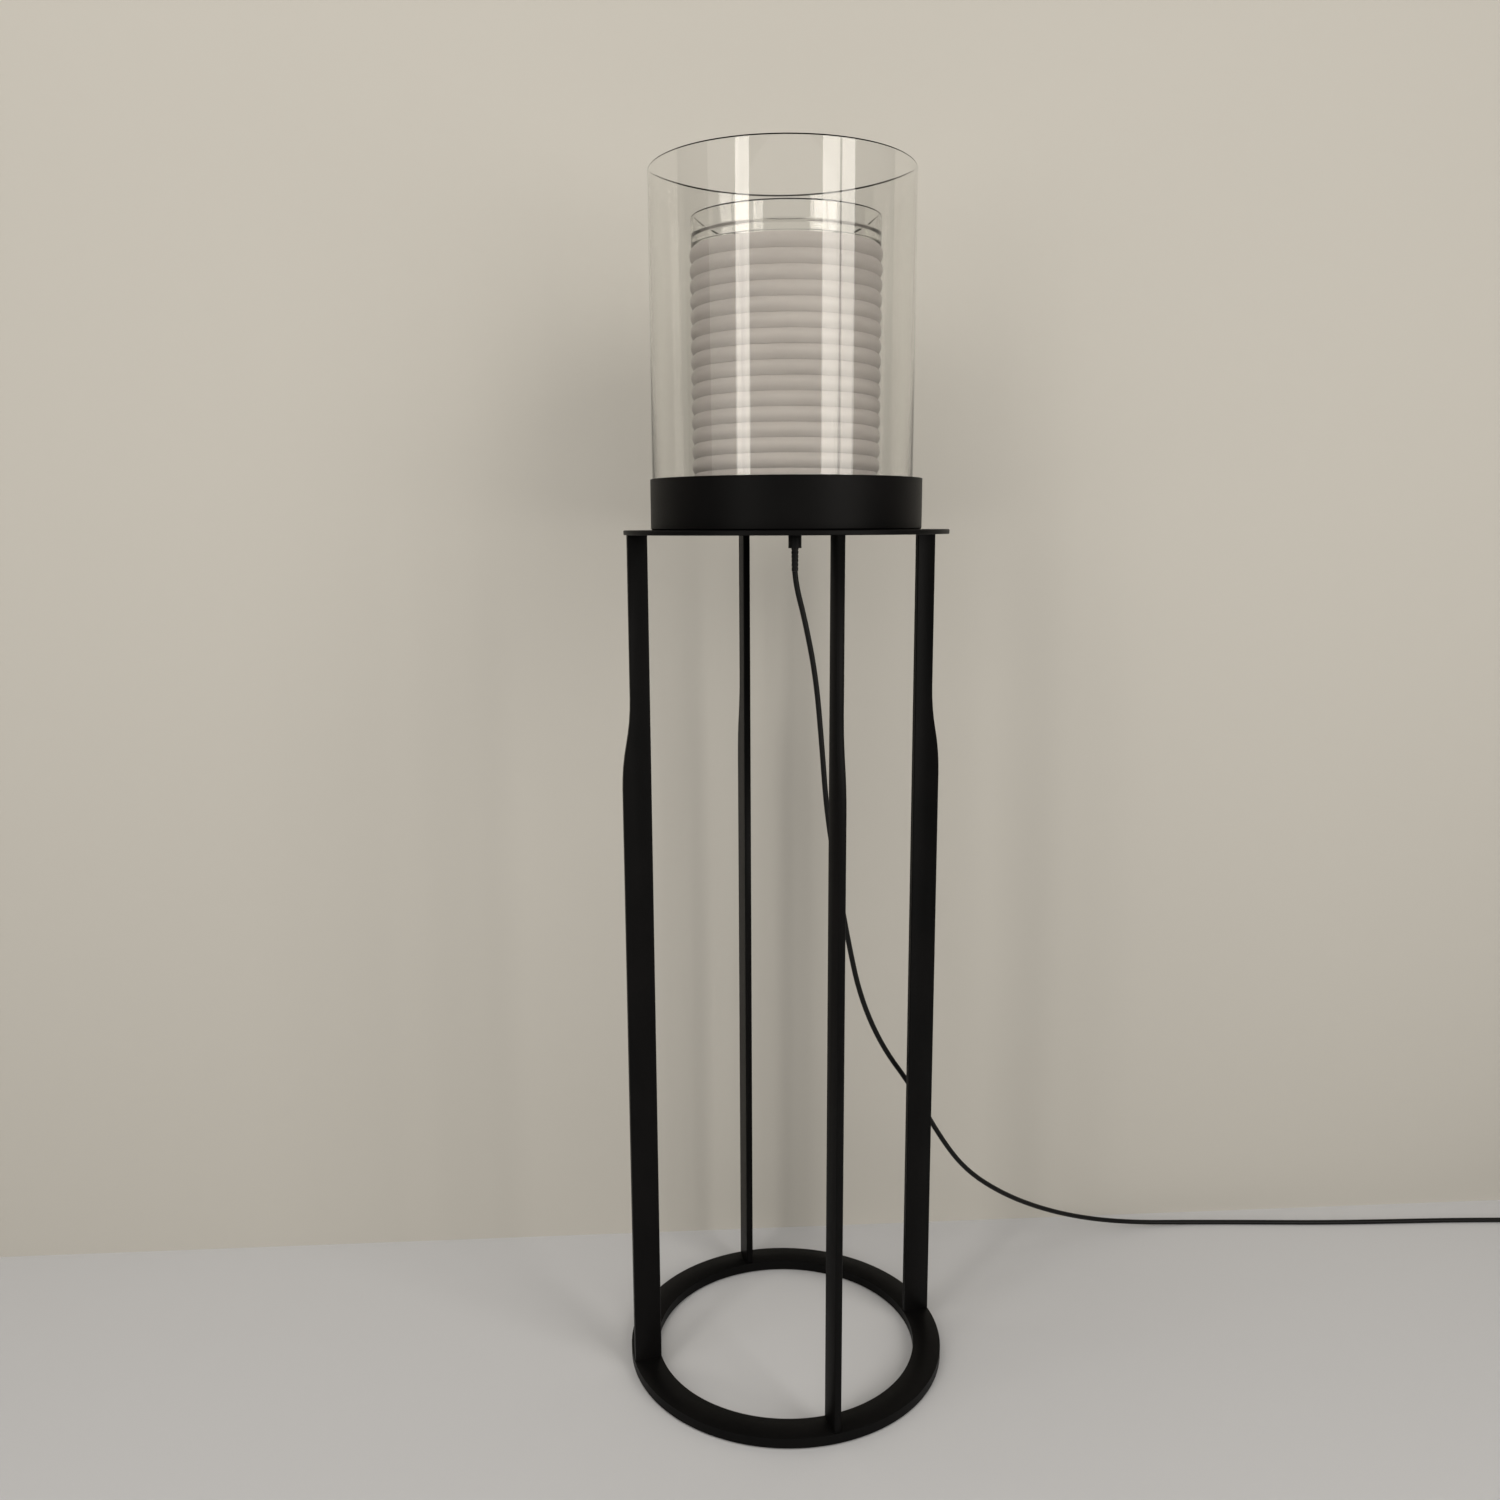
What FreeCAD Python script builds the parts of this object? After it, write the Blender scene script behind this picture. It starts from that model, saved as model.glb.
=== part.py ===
# Lantern floor lamp. A flat steel ring stands on the floor and carries four flat-bar legs,
# welded to it and to the round plate at their heads, with a shallow drum on the plate. A clear glass cylinder and, inside it, a
# second one in a ribbed grey sleeve stand loose in the drum round a screw-in bulb.
#
# Millimetres. +Z is up, the front is -Y, and the origin is the centre of the base on the floor.
import FreeCAD
import Part
import math
import os
from FreeCAD import Vector

# ---------------------------------------------------------------- driving dimensions
# base
pad_thickness = 1.5            # foam ring stuck under the base
pad_inset = 2.0                # from each edge of the base ring
ring_diameter = 300.0
ring_width = 26.0
ring_thickness = 6.0
ring_edge_break = 0.6

# legs: flat bar on edge, so that its wide faces stand in radial planes
leg_count = 4
leg_turn = 16.0                # degrees that the first leg stands behind +X
leg_width = 25.0
leg_thickness = 5.0
leg_length = 775.0
leg_inset = 0.5                # outer edge of a leg behind the rim of the ring and the plate
leg_shoulder_start = 555.0     # where the outer edge starts to draw in, above the leg's foot
leg_shoulder_length = 80.0
leg_edge_break = 0.6

# top plate and drum
plate_setback = 8.0            # rim of the plate inside the rim of the base ring
plate_thickness = 4.0
plate_edge_break = 0.5
drum_height = 40.0
drum_wall = 1.5
drum_floor = 1.5
drum_corner_break = 1.2
glass_play = 3.5               # outer glass, standing centred, to the drum wall

# what stands in the drum
mat_thickness = 1.5
mat_edge_gap = 0.3             # mat to drum wall and to the locating band
outer_glass_diameter = 226.0
outer_glass_height = 292.0
outer_glass_wall = 3.0
outer_glass_rest_gap = 0.3     # the loose glass stands against the left of the drum wall
inner_glass_diameter = 157.0
inner_glass_height = 252.0
inner_glass_wall = 3.0
glass_rim_break = 0.8
sleeve_clearance = 0.3         # inner glass to ribbed sleeve, all round
sleeve_wall = 0.9              # in the grooves between ribs
rib_pitch = 12.0
rib_height = 2.1
rib_crest_width = 5.0
rib_count = 19
band_clearance = 1.0           # locating band to the bore of the inner glass
band_thickness = 1.2
band_height = 12.0

# lamp holder and its bracket
bracket_height = 26.0
bracket_width = 22.0
bracket_thickness = 1.5
bracket_foot_length = 16.0
bracket_bend_radius = 3.0
nipple_diameter = 10.0
nipple_bore = 7.5
nipple_length = 16.0
nipple_engagement = 9.0        # length screwed into the holder
thread_gap = 0.05              # radial room that stands for a thread
nut_thickness = 4.0
nut_across_flats = 14.0
washer_thickness = 0.8
washer_diameter = 18.0
holder_diameter = 40.0
holder_base_height = 24.0
holder_foot_diameter = 27.0
holder_neck_height = 6.0
holder_base_wall = 3.0
holder_body_height = 36.0
holder_mouth_lip = 1.2
insert_thickness = 8.0
insert_gap = 0.3
screw_shell_bore = 27.2
screw_shell_wall = 0.5
screw_shell_height = 20.0
contact_width = 7.0
contact_thickness = 0.6
contact_rise = 2.4

# bulb
bulb_length = 108.0
bulb_diameter = 60.0
bulb_cap_diameter = 26.4
bulb_cap_height = 24.0
bulb_tip_height = 4.0
bulb_tip_diameter = 10.0
bulb_seat_gap = 0.3            # bulb tip over the sprung contact
bulb_skirt_height = 36.0
bulb_globe_bands = 6

# screws and nuts
drum_screw_diameter = 4.0      # countersunk, plate to drum and bracket
drum_screw_length = 12.0
drum_screw_circle = 104.0      # diameter
drum_screw_count = 2
drum_nut_across_flats = 7.0
drum_nut_thickness = 3.2
screw_hole_gap = 0.2           # radial room round a shank that passes through
head_seat_gap = 0.05           # room between a countersunk head and its seat

# cable gland in the middle of the plate, a little to the right
gland_offset = 8.0
gland_diameter = 10.5
gland_drop = 12.0
gland_thread_diameter = 8.0
gland_nut_across_flats = 12.0
gland_nut_thickness = 4.0
relief_length = 20.0
relief_top_diameter = 8.0
relief_tip_diameter = 6.2
cord_bore_gap = 0.1

# cord
cord_diameter = 5.0
core_diameter = 2.0
core_spacing = 2.6
cord_tail_rise = 1.5           # sheath left above the gland nut
core_straight = 4.0             # above the sheath, before the slope to the nipple
arc_share = 0.45               # of the shorter run, taken by each bend

# coil of spare cord, on the floor
coil_outer_radius = 32.0
coil_pitch = 5.8
coil_layer_rise = 5.7
coil_turns_in = 1.5
coil_turns_climb = 0.5
coil_turns_out = 1.25
coil_lead_in = 12.0
coil_exit_run = 22.0

# two-pin plug, lying beside the coil
plug_face_width = 35.0
plug_thickness = 14.0
plug_rear_width = 16.0
plug_rear_thickness = 11.0
plug_length = 34.0
plug_corner_break = 3.0
plug_relief_length = 20.0
plug_relief_tip_diameter = 6.6
plug_relief_root_diameter = 9.6
pin_diameter = 4.0
pin_length = 19.0
pin_spacing = 19.0

# ---------------------------------------------------------------- places worked out from them
ring_radius = ring_diameter / 2
ring_bore_radius = ring_radius - ring_width
ring_top_z = pad_thickness + ring_thickness

leg_outer_radius = ring_radius - leg_inset
leg_inner_radius = leg_outer_radius - leg_width
plate_radius = ring_radius - plate_setback
leg_top_outer_radius = plate_radius - leg_inset

plate_bottom_z = ring_top_z + leg_length
plate_top_z = plate_bottom_z + plate_thickness
drum_floor_z = plate_top_z + drum_floor
mat_top_z = drum_floor_z + mat_thickness

outer_glass_radius = outer_glass_diameter / 2
drum_bore_radius = outer_glass_radius + glass_play
drum_radius = drum_bore_radius + drum_wall
outer_glass_x = outer_glass_rest_gap - glass_play
inner_glass_radius = inner_glass_diameter / 2
inner_glass_bore_radius = inner_glass_radius - inner_glass_wall
band_radius = inner_glass_bore_radius - band_clearance
sleeve_bore_radius = inner_glass_radius + sleeve_clearance
sleeve_groove_radius = sleeve_bore_radius + sleeve_wall

bracket_top_z = drum_floor_z + bracket_height
bracket_span = drum_screw_circle + bracket_foot_length
nipple_radius = nipple_diameter / 2
nipple_bottom_z = bracket_top_z + nipple_engagement - nipple_length
holder_radius = holder_diameter / 2
holder_shoulder_z = bracket_top_z + holder_base_height - holder_neck_height
insert_z = bracket_top_z + holder_base_height
insert_top_z = insert_z + insert_thickness
holder_neck_radius = holder_radius - holder_base_wall
screw_shell_radius = screw_shell_bore / 2 + screw_shell_wall
bulb_tip_z = insert_top_z + contact_rise + bulb_seat_gap
bulb_cap_z = bulb_tip_z + bulb_tip_height
bulb_skirt_z = bulb_cap_z + bulb_cap_height
bulb_globe_z = bulb_skirt_z + bulb_skirt_height
bulb_top_z = bulb_tip_z + bulb_length
bulb_radius = bulb_diameter / 2
bulb_centre_z = bulb_top_z - bulb_radius
bulb_neck_radius = math.sqrt(bulb_radius ** 2 - (bulb_centre_z - bulb_globe_z) ** 2)

gland_bottom_z = plate_bottom_z - gland_drop
gland_nut_top_z = drum_floor_z + gland_nut_thickness
cord_radius = cord_diameter / 2
cord_exit = Vector(gland_offset, 0, gland_bottom_z - relief_length)

# The route of the cord's free stretch, by its corners: down out of the gland, out between
# the right and the back leg, along the floor to the right, up to the coil of spare cord.
cord_route = [
    cord_exit,
    Vector(8, 0, 735),
    Vector(15, 4, 706),
    Vector(25, 9.5, 656),
    Vector(32, 14, 592),
    Vector(38.5, 17, 528),
    Vector(49, 22, 464),
    Vector(60, 29, 402),
    Vector(73, 36, 342),
    Vector(96, 49, 286),
    Vector(129, 67, 235),
    Vector(157, 83, 179),
    Vector(189, 100, 129),
    Vector(234, 124, 88),
    Vector(286, 153, 53),
    Vector(342, 184, 24),
    Vector(402, 206, 6),
    Vector(470, 212, cord_radius),
    Vector(540, 211, cord_radius),
    Vector(612, 209.5, cord_radius),
    Vector(684, 210.5, cord_radius),
    Vector(754, 212.5, cord_radius),
    Vector(812, 213, cord_radius),
    Vector(864, 212, cord_radius),
]
coil_start = cord_route[-1] + Vector(coil_lead_in, 0, 0)
coil_centre = coil_start - Vector(0, coil_outer_radius, 0)
coil_inner_radius = coil_outer_radius - coil_pitch * coil_turns_in
coil_turns = coil_turns_in + coil_turns_climb + coil_turns_out
plug_z = plug_thickness / 2

UP = Vector(0, 0, 1)
FULL_TURN = 360.0
LEG_NAMES = ("leg_right", "leg_back", "leg_left", "leg_front")


# ---------------------------------------------------------------- shape helpers
def disc(radius, z, height, x=0.0, y=0.0):
    """Solid cylinder standing on z."""
    return Part.makeCylinder(radius, height, Vector(x, y, z))


def tube(radius, bore_radius, z, height, x=0.0, y=0.0):
    """Cylinder with a through bore."""
    return disc(radius, z, height, x, y).cut(disc(bore_radius, z, height, x, y))


def hexagon(across_flats, z, height, x=0.0, y=0.0):
    """Hexagonal prism standing on z."""
    corner_radius = across_flats / math.sqrt(3)
    corners = []
    for side in range(7):
        angle = math.radians(60 * side)
        corners.append(Vector(x + corner_radius * math.cos(angle), y + corner_radius * math.sin(angle), z))
    return Part.Face(Part.makePolygon(corners)).extrude(Vector(0, 0, height))


def lathe(outline):
    """Solid of revolution about Z from a closed outline of edges in the XZ plane."""
    face = Part.Face(Part.Wire(Part.__sortEdges__(outline)))
    return face.revolve(Vector(0, 0, 0), UP, FULL_TURN)


def outline_edges(points):
    """Straight edges that close a list of (radius, z) points."""
    corners = [Vector(radius, 0, z) for radius, z in points]
    corners.append(corners[0])
    return [Part.LineSegment(a, b).toShape() for a, b in zip(corners, corners[1:])]


def round_edges(shape, radius, chosen):
    """Fillet the edges that the test picks out."""
    return shape.makeFillet(radius, [edge for edge in shape.Edges if chosen(edge)])


def circles_at(z, radii):
    """Test for circular edges at a height, with one of the radii."""
    def chosen(edge):
        if not isinstance(edge.Curve, Part.Circle):
            return False
        at_height = abs(edge.Curve.Center.z - z) < 1e-6
        return at_height and any(abs(edge.Curve.Radius - radius) < 1e-6 for radius in radii)
    return chosen


def break_edges(shape, size, chosen):
    """Chamfer the edges that the test picks out."""
    return shape.makeChamfer(size, [edge for edge in shape.Edges if chosen(edge)])


def around_axis(shape, angle):
    """Copy of a shape turned about Z."""
    turned = shape.copy()
    turned.rotate(Vector(0, 0, 0), UP, angle)
    return turned


def leg_angles():
    """Angle of each leg about Z, from +X."""
    return [leg_turn + FULL_TURN / leg_count * index for index in range(leg_count)]


def countersunk_screw(diameter, length, hole=False):
    """Screw pointing up from z=0, its flat head flush with z=0, or the hole that takes it."""
    gap = screw_hole_gap if hole else 0.0
    seat = head_seat_gap if hole else 0.0
    radius = diameter / 2
    head = Part.makeCone(2 * radius + seat, radius + seat, radius)
    return head.fuse(disc(radius + gap, 0, length)).removeSplitter()


def placed(shape, position):
    """Copy of a shape moved to a position."""
    moved = shape.copy()
    moved.translate(position)
    return moved


def on_circle(radius, angle, z):
    """Point at a radius and angle about Z."""
    return Vector(radius * math.cos(math.radians(angle)), radius * math.sin(math.radians(angle)), z)


# ---------------------------------------------------------------- frame
def drum_screw_places():
    """Where the screws of the drum enter the underside of the plate, in a row along Y."""
    step = FULL_TURN / drum_screw_count
    return [on_circle(drum_screw_circle / 2, step * index + 90, plate_bottom_z)
            for index in range(drum_screw_count)]


def base_pad():
    """Foam ring under the steel ring."""
    return tube(ring_radius - pad_inset, ring_bore_radius + pad_inset, 0, pad_thickness)


def base_ring():
    """Flat ring with its upper edges broken."""
    ring = tube(ring_radius, ring_bore_radius, pad_thickness, ring_thickness)
    return break_edges(ring, ring_edge_break, circles_at(ring_top_z, (ring_radius, ring_bore_radius)))


def leg():
    """Leg along +X: flat bar whose outer edge draws in to the plate by two equal arcs."""
    foot_z = ring_top_z
    head_z = foot_z + leg_length
    start_z = foot_z + leg_shoulder_start
    end_z = start_z + leg_shoulder_length
    draw_in = leg_outer_radius - leg_top_outer_radius
    arc_radius = (leg_shoulder_length ** 2 + draw_in ** 2) / (4 * draw_in)
    half_angle = math.asin(leg_shoulder_length / 2 / arc_radius) / 2

    def arc_middle(edge_radius, z, outwards):
        """Point halfway along one arc of the shoulder, from its end on a straight edge."""
        inwards = arc_radius * (1 - math.cos(half_angle))
        along = arc_radius * math.sin(half_angle)
        return Vector(edge_radius - outwards * inwards, 0, z + outwards * along)

    inner_foot = Vector(leg_inner_radius, 0, foot_z)
    outer_foot = Vector(leg_outer_radius, 0, foot_z)
    shoulder_start = Vector(leg_outer_radius, 0, start_z)
    shoulder_middle = Vector(leg_outer_radius - draw_in / 2, 0, (start_z + end_z) / 2)
    shoulder_end = Vector(leg_top_outer_radius, 0, end_z)
    outer_head = Vector(leg_top_outer_radius, 0, head_z)
    inner_head = Vector(leg_inner_radius, 0, head_z)
    lower_arc = Part.Arc(shoulder_start, arc_middle(leg_outer_radius, start_z, 1), shoulder_middle)
    upper_arc = Part.Arc(shoulder_middle, arc_middle(leg_top_outer_radius, end_z, -1), shoulder_end)
    outline = [
        Part.LineSegment(inner_foot, outer_foot),
        Part.LineSegment(outer_foot, shoulder_start),
        lower_arc,
        upper_arc,
        Part.LineSegment(shoulder_end, outer_head),
        Part.LineSegment(outer_head, inner_head),
        Part.LineSegment(inner_head, inner_foot),
    ]
    face = Part.Face(Part.Wire([edge.toShape() for edge in outline]))
    face.translate(Vector(0, -leg_thickness / 2, 0))
    bar = face.extrude(Vector(0, leg_thickness, 0))

    def long_edge(edge):
        """Edges along the bar, not those across its ends."""
        return edge.BoundBox.ZLength > leg_thickness

    return break_edges(bar, leg_edge_break, long_edge)


def legs():
    """The four legs, by name."""
    bar = leg()
    return {name: around_axis(bar, angle) for name, angle in zip(LEG_NAMES, leg_angles())}


def top_plate():
    """Round plate with its screw holes and the gland's hole."""
    plate = disc(plate_radius, plate_bottom_z, plate_thickness)
    for z in (plate_bottom_z, plate_top_z):
        plate = break_edges(plate, plate_edge_break, circles_at(z, (plate_radius,)))
    drum_hole = countersunk_screw(drum_screw_diameter, plate_thickness, hole=True)
    for place in drum_screw_places():
        plate = plate.cut(placed(drum_hole, place))
    return plate.cut(gland_hole())


# ---------------------------------------------------------------- drum and what stands in it
def gland_hole():
    """Hole for the gland's thread through the plate and the drum floor."""
    radius = gland_thread_diameter / 2 + screw_hole_gap
    return disc(radius, plate_bottom_z, plate_thickness + drum_floor, gland_offset)


def drum():
    """Spun pan with a broken bottom corner."""
    pan = disc(drum_radius, plate_top_z, drum_height)
    pan = break_edges(pan, drum_corner_break, circles_at(plate_top_z, (drum_radius,)))
    pan = pan.cut(disc(drum_bore_radius, drum_floor_z, drum_height))
    for place in drum_screw_places():
        hole_radius = drum_screw_diameter / 2 + screw_hole_gap
        pan = pan.cut(disc(hole_radius, plate_top_z, drum_floor, place.x, place.y))
    return pan.cut(gland_hole())


def seat_mat():
    """Soft ring on the drum floor, which both glasses stand on."""
    bore_radius = band_radius + mat_edge_gap
    return tube(drum_bore_radius - mat_edge_gap, bore_radius, drum_floor_z, mat_thickness)


def locating_band():
    """Band on the drum floor that keeps the inner glass central."""
    return tube(band_radius, band_radius - band_thickness, drum_floor_z, band_height)


def glass_cylinder(diameter, height, wall, x=0.0):
    """Open glass cylinder with a fire-polished rim, standing on the mat."""
    radius = diameter / 2
    glass = tube(radius, radius - wall, mat_top_z, height, x)
    rim = circles_at(mat_top_z + height, (radius, radius - wall))
    return break_edges(glass, min(glass_rim_break, 0.4 * wall), rim)


def ribbed_sleeve():
    """Sleeve round the inner glass: a plain bore, and outside a stack of flat-crested ribs."""
    crest_radius = sleeve_groove_radius + rib_height
    flank_rise = (rib_pitch - rib_crest_width) / 2
    outline = [(sleeve_bore_radius, mat_top_z)]
    for rib in range(rib_count):
        low_z = mat_top_z + rib * rib_pitch
        outline.append((sleeve_groove_radius, low_z))
        outline.append((crest_radius, low_z + flank_rise))
        outline.append((crest_radius, low_z + rib_pitch - flank_rise))
    top_z = mat_top_z + rib_pitch * rib_count
    outline.append((sleeve_groove_radius, top_z))
    outline.append((sleeve_bore_radius, top_z))
    return lathe(outline_edges(outline))


# ---------------------------------------------------------------- lamp holder
def holder_bracket():
    """Strap bent to a hat shape, which lifts the lamp holder off the drum floor."""
    foot_z = drum_floor_z
    end_y = bracket_span / 2
    wall_y = end_y - bracket_foot_length
    inner_y = wall_y - bracket_thickness
    bridge_z = bracket_top_z - bracket_thickness
    foot_top_z = foot_z + bracket_thickness
    half_outline = [
        (inner_y, bridge_z),
        (inner_y, foot_z),
        (end_y, foot_z),
        (end_y, foot_top_z),
        (wall_y, foot_top_z),
        (wall_y, bracket_top_z),
    ]
    mirrored = [(-y, z) for y, z in reversed(half_outline)]
    corners = [Vector(-bracket_width / 2, y, z) for y, z in half_outline + mirrored]
    strap = Part.Face(Part.makePolygon(corners + corners[:1])).extrude(Vector(bracket_width, 0, 0))

    def bend_at(y, z):
        """Test for the edges along X at a bend of the strap, on both sides."""
        def chosen(edge):
            box = edge.BoundBox
            at_bend = abs(abs(box.YMin) - y) < 1e-6 and abs(box.ZMin - z) < 1e-6
            return at_bend and abs(box.XLength - bracket_width) < 1e-3
        return chosen

    outer_bend = bracket_bend_radius + bracket_thickness
    for y, z, radius in ((wall_y, bracket_top_z, outer_bend), (inner_y, bridge_z, bracket_bend_radius),
                         (inner_y, foot_z, outer_bend), (wall_y, foot_top_z, bracket_bend_radius)):
        strap = round_edges(strap, radius, bend_at(y, z))
    for place in drum_screw_places():
        radius = drum_screw_diameter / 2 + screw_hole_gap
        strap = strap.cut(disc(radius, drum_floor_z, bracket_thickness, place.x, place.y))
    return strap.cut(disc(nipple_radius + screw_hole_gap, drum_floor_z, bracket_height))


def drum_screws():
    """Screws up through the plate, the drum floor and the bracket's feet."""
    screw = countersunk_screw(drum_screw_diameter, drum_screw_length)
    return Part.makeCompound([placed(screw, place) for place in drum_screw_places()])


def drum_nuts():
    """Hexagon nuts of those screws, on the bracket's feet."""
    seat_z = drum_floor_z + bracket_thickness
    bore_radius = drum_screw_diameter / 2 + thread_gap
    nuts = []
    for place in drum_screw_places():
        nut = hexagon(drum_nut_across_flats, seat_z, drum_nut_thickness, place.x, place.y)
        nuts.append(nut.cut(disc(bore_radius, seat_z, drum_nut_thickness, place.x, place.y)))
    return Part.makeCompound(nuts)


def nipple():
    """Hollow threaded tube that holds the lamp holder on the bracket and passes the cores."""
    return tube(nipple_radius, nipple_bore / 2, nipple_bottom_z, nipple_length)


def nipple_washer():
    """Washer under the bracket."""
    z = bracket_top_z - bracket_thickness - washer_thickness
    return tube(washer_diameter / 2, nipple_radius + screw_hole_gap, z, washer_thickness)


def nipple_nut():
    """Nut that pulls the holder down on the bracket."""
    z = bracket_top_z - bracket_thickness - washer_thickness - nut_thickness
    nut = hexagon(nut_across_flats, z, nut_thickness)
    return nut.cut(disc(nipple_radius + thread_gap, z, nut_thickness))


def holder_base():
    """Lower cap of the lamp holder: a flared cup with a threaded hub and a neck."""
    bottom_z = bracket_top_z
    foot_radius = holder_foot_diameter / 2
    hub_top_z = bottom_z + nipple_engagement
    hub_bore_radius = nipple_radius + thread_gap
    cavity_radius = holder_neck_radius - holder_base_wall
    return lathe(outline_edges([
        (hub_bore_radius, bottom_z),
        (foot_radius, bottom_z),
        (holder_radius, holder_shoulder_z - holder_neck_height),
        (holder_radius, holder_shoulder_z),
        (holder_neck_radius, holder_shoulder_z),
        (holder_neck_radius, insert_z),
        (cavity_radius, insert_z),
        (cavity_radius, hub_top_z),
        (hub_bore_radius, hub_top_z),
    ]))


def holder_body():
    """Upper sleeve of the lamp holder, screwed over the neck, with an inner step and a lip."""
    top_z = holder_shoulder_z + holder_body_height
    skirt_bore = holder_neck_radius + thread_gap
    body_bore = screw_shell_radius + insert_gap
    return lathe(outline_edges([
        (skirt_bore, holder_shoulder_z),
        (holder_radius, holder_shoulder_z),
        (holder_radius, top_z - holder_mouth_lip),
        (holder_radius - holder_mouth_lip, top_z),
        (body_bore, top_z),
        (body_bore, insert_top_z),
        (skirt_bore, insert_top_z),
    ]))


def core_holes(z, height):
    """Two small holes that take the cord's cores."""
    radius = core_diameter / 2 + cord_bore_gap
    return [disc(radius, z, height, 0, side * core_spacing / 2) for side in (-1, 1)]


def holder_insert():
    """Ceramic disc that carries the contacts, clamped between the cap and the sleeve."""
    radius = holder_neck_radius - insert_gap
    insert = disc(radius, insert_z, insert_thickness)
    for hole in core_holes(insert_z, insert_thickness / 2):
        insert = insert.cut(hole)
    return insert


def screw_shell():
    """Metal sleeve that the bulb's cap screws into."""
    return tube(screw_shell_radius, screw_shell_bore / 2, insert_top_z, screw_shell_height)


def centre_contact():
    """Sprung strip under the bulb's tip: flat foot, slope and a raised end."""
    thickness = contact_thickness
    reach = screw_shell_bore / 2 - 3 * thickness
    rise = contact_rise - thickness
    lower = [
        Vector(-reach, 0, insert_top_z),
        Vector(-reach / 2, 0, insert_top_z),
        Vector(-thickness, 0, insert_top_z + rise),
        Vector(reach / 3, 0, insert_top_z + rise),
    ]
    upper = [point + Vector(0, 0, thickness) for point in reversed(lower)]
    face = Part.Face(Part.makePolygon(lower + upper + lower[:1]))
    face.translate(Vector(0, -contact_width / 2, 0))
    return face.extrude(Vector(0, contact_width, 0))


# ---------------------------------------------------------------- bulb
def bulb_tip():
    """Centre contact and its insulator at the foot of the cap."""
    tip_radius = bulb_tip_diameter / 2
    return Part.makeCone(tip_radius, 0.8 * bulb_cap_diameter / 2, bulb_tip_height,
                         Vector(0, 0, bulb_tip_z))


def bulb_cap():
    """Metal screw cap, as a plain cylinder over its thread."""
    return disc(bulb_cap_diameter / 2, bulb_cap_z, bulb_cap_height)


def bulb_skirt():
    """Plastic skirt that widens from the cap to the globe."""
    foot_radius = bulb_cap_diameter / 2 + 1
    return Part.makeCone(foot_radius, bulb_neck_radius, bulb_skirt_height, Vector(0, 0, bulb_skirt_z))


def bulb_globe():
    """Opal globe in bands, cut off flat on the skirt, its corners on the true ball."""
    low_angle = math.asin((bulb_globe_z - bulb_centre_z) / bulb_radius)
    outline = [(0, bulb_globe_z)]
    for band in range(bulb_globe_bands):
        angle = low_angle + (math.pi / 2 - low_angle) * band / bulb_globe_bands
        outline.append((bulb_radius * math.cos(angle), bulb_centre_z + bulb_radius * math.sin(angle)))
    outline.append((0, bulb_top_z))
    return lathe(outline_edges(outline))


# ---------------------------------------------------------------- gland and cores
def gland_body():
    """Gland under the plate, with a thread that passes up into the drum."""
    grip = disc(gland_diameter / 2, gland_bottom_z, gland_drop, gland_offset)
    thread_height = gland_nut_top_z - plate_bottom_z
    thread = disc(gland_thread_diameter / 2, plate_bottom_z, thread_height, gland_offset)
    bore = disc(cord_radius + cord_bore_gap, gland_bottom_z, gland_nut_top_z - gland_bottom_z, gland_offset)
    return grip.fuse(thread).cut(bore).removeSplitter()


def gland_nut():
    """Nut that holds the gland on the drum floor."""
    nut = hexagon(gland_nut_across_flats, drum_floor_z, gland_nut_thickness, gland_offset)
    bore_radius = gland_thread_diameter / 2 + thread_gap
    return nut.cut(disc(bore_radius, drum_floor_z, gland_nut_thickness, gland_offset))


def strain_relief():
    """Tapered rubber sleeve on the cord under the gland."""
    sleeve = Part.makeCone(relief_tip_diameter / 2, relief_top_diameter / 2, relief_length, cord_exit)
    bore_radius = cord_radius + cord_bore_gap
    return sleeve.cut(disc(bore_radius, cord_exit.z, relief_length, gland_offset))


def cord_tail():
    """The cord's sheath inside the strain relief and the gland."""
    return disc(cord_radius, cord_exit.z, gland_nut_top_z + cord_tail_rise - cord_exit.z, gland_offset)


def core(side):
    """One insulated core, from the sheath over to the nipple and up into the holder."""
    y = side * core_spacing / 2
    start_z = gland_nut_top_z + cord_tail_rise
    end_z = insert_z + insert_thickness / 2
    route = [
        Vector(gland_offset, y, start_z),
        Vector(gland_offset, y, start_z + core_straight),
        Vector(0, y, nipple_bottom_z + core_straight / 2),
        Vector(0, y, end_z),
    ]
    path = Part.makePolygon(route)
    profile = Part.Wire(Part.Circle(route[0], UP, core_diameter / 2).toShape())
    return path.makePipeShell([profile], True, False, 1)


# ---------------------------------------------------------------- cord
def rounded_route(points):
    """Path of straight runs joined by tangent arcs, and the radius of each arc."""
    edges = []
    radii = []
    start = points[0]
    for before, corner, after in zip(points, points[1:], points[2:]):
        run_in = corner - before
        run_out = after - corner
        setback = arc_share * min(run_in.Length, run_out.Length)
        direction_in = Vector(run_in).normalize()
        direction_out = Vector(run_out).normalize()
        half_turn = direction_in.getAngle(direction_out) / 2
        radius = setback / math.tan(half_turn)
        inwards = (direction_out - direction_in).normalize()
        arc_start = corner - direction_in * setback
        arc_end = corner + direction_out * setback
        arc_middle = corner + inwards * (radius / math.cos(half_turn) - radius)
        edges.append(Part.LineSegment(start, arc_start).toShape())
        edges.append(Part.Arc(arc_start, arc_middle, arc_end).toShape())
        radii.append(radius)
        start = arc_end
    edges.append(Part.LineSegment(start, points[-1]).toShape())
    return Part.Wire(edges), radii


def swept_tube(path, radius, start, direction):
    """Round tube along a path."""
    profile = Part.Wire(Part.Circle(start, direction, radius).toShape())
    return path.makePipeShell([profile], True, False)


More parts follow.
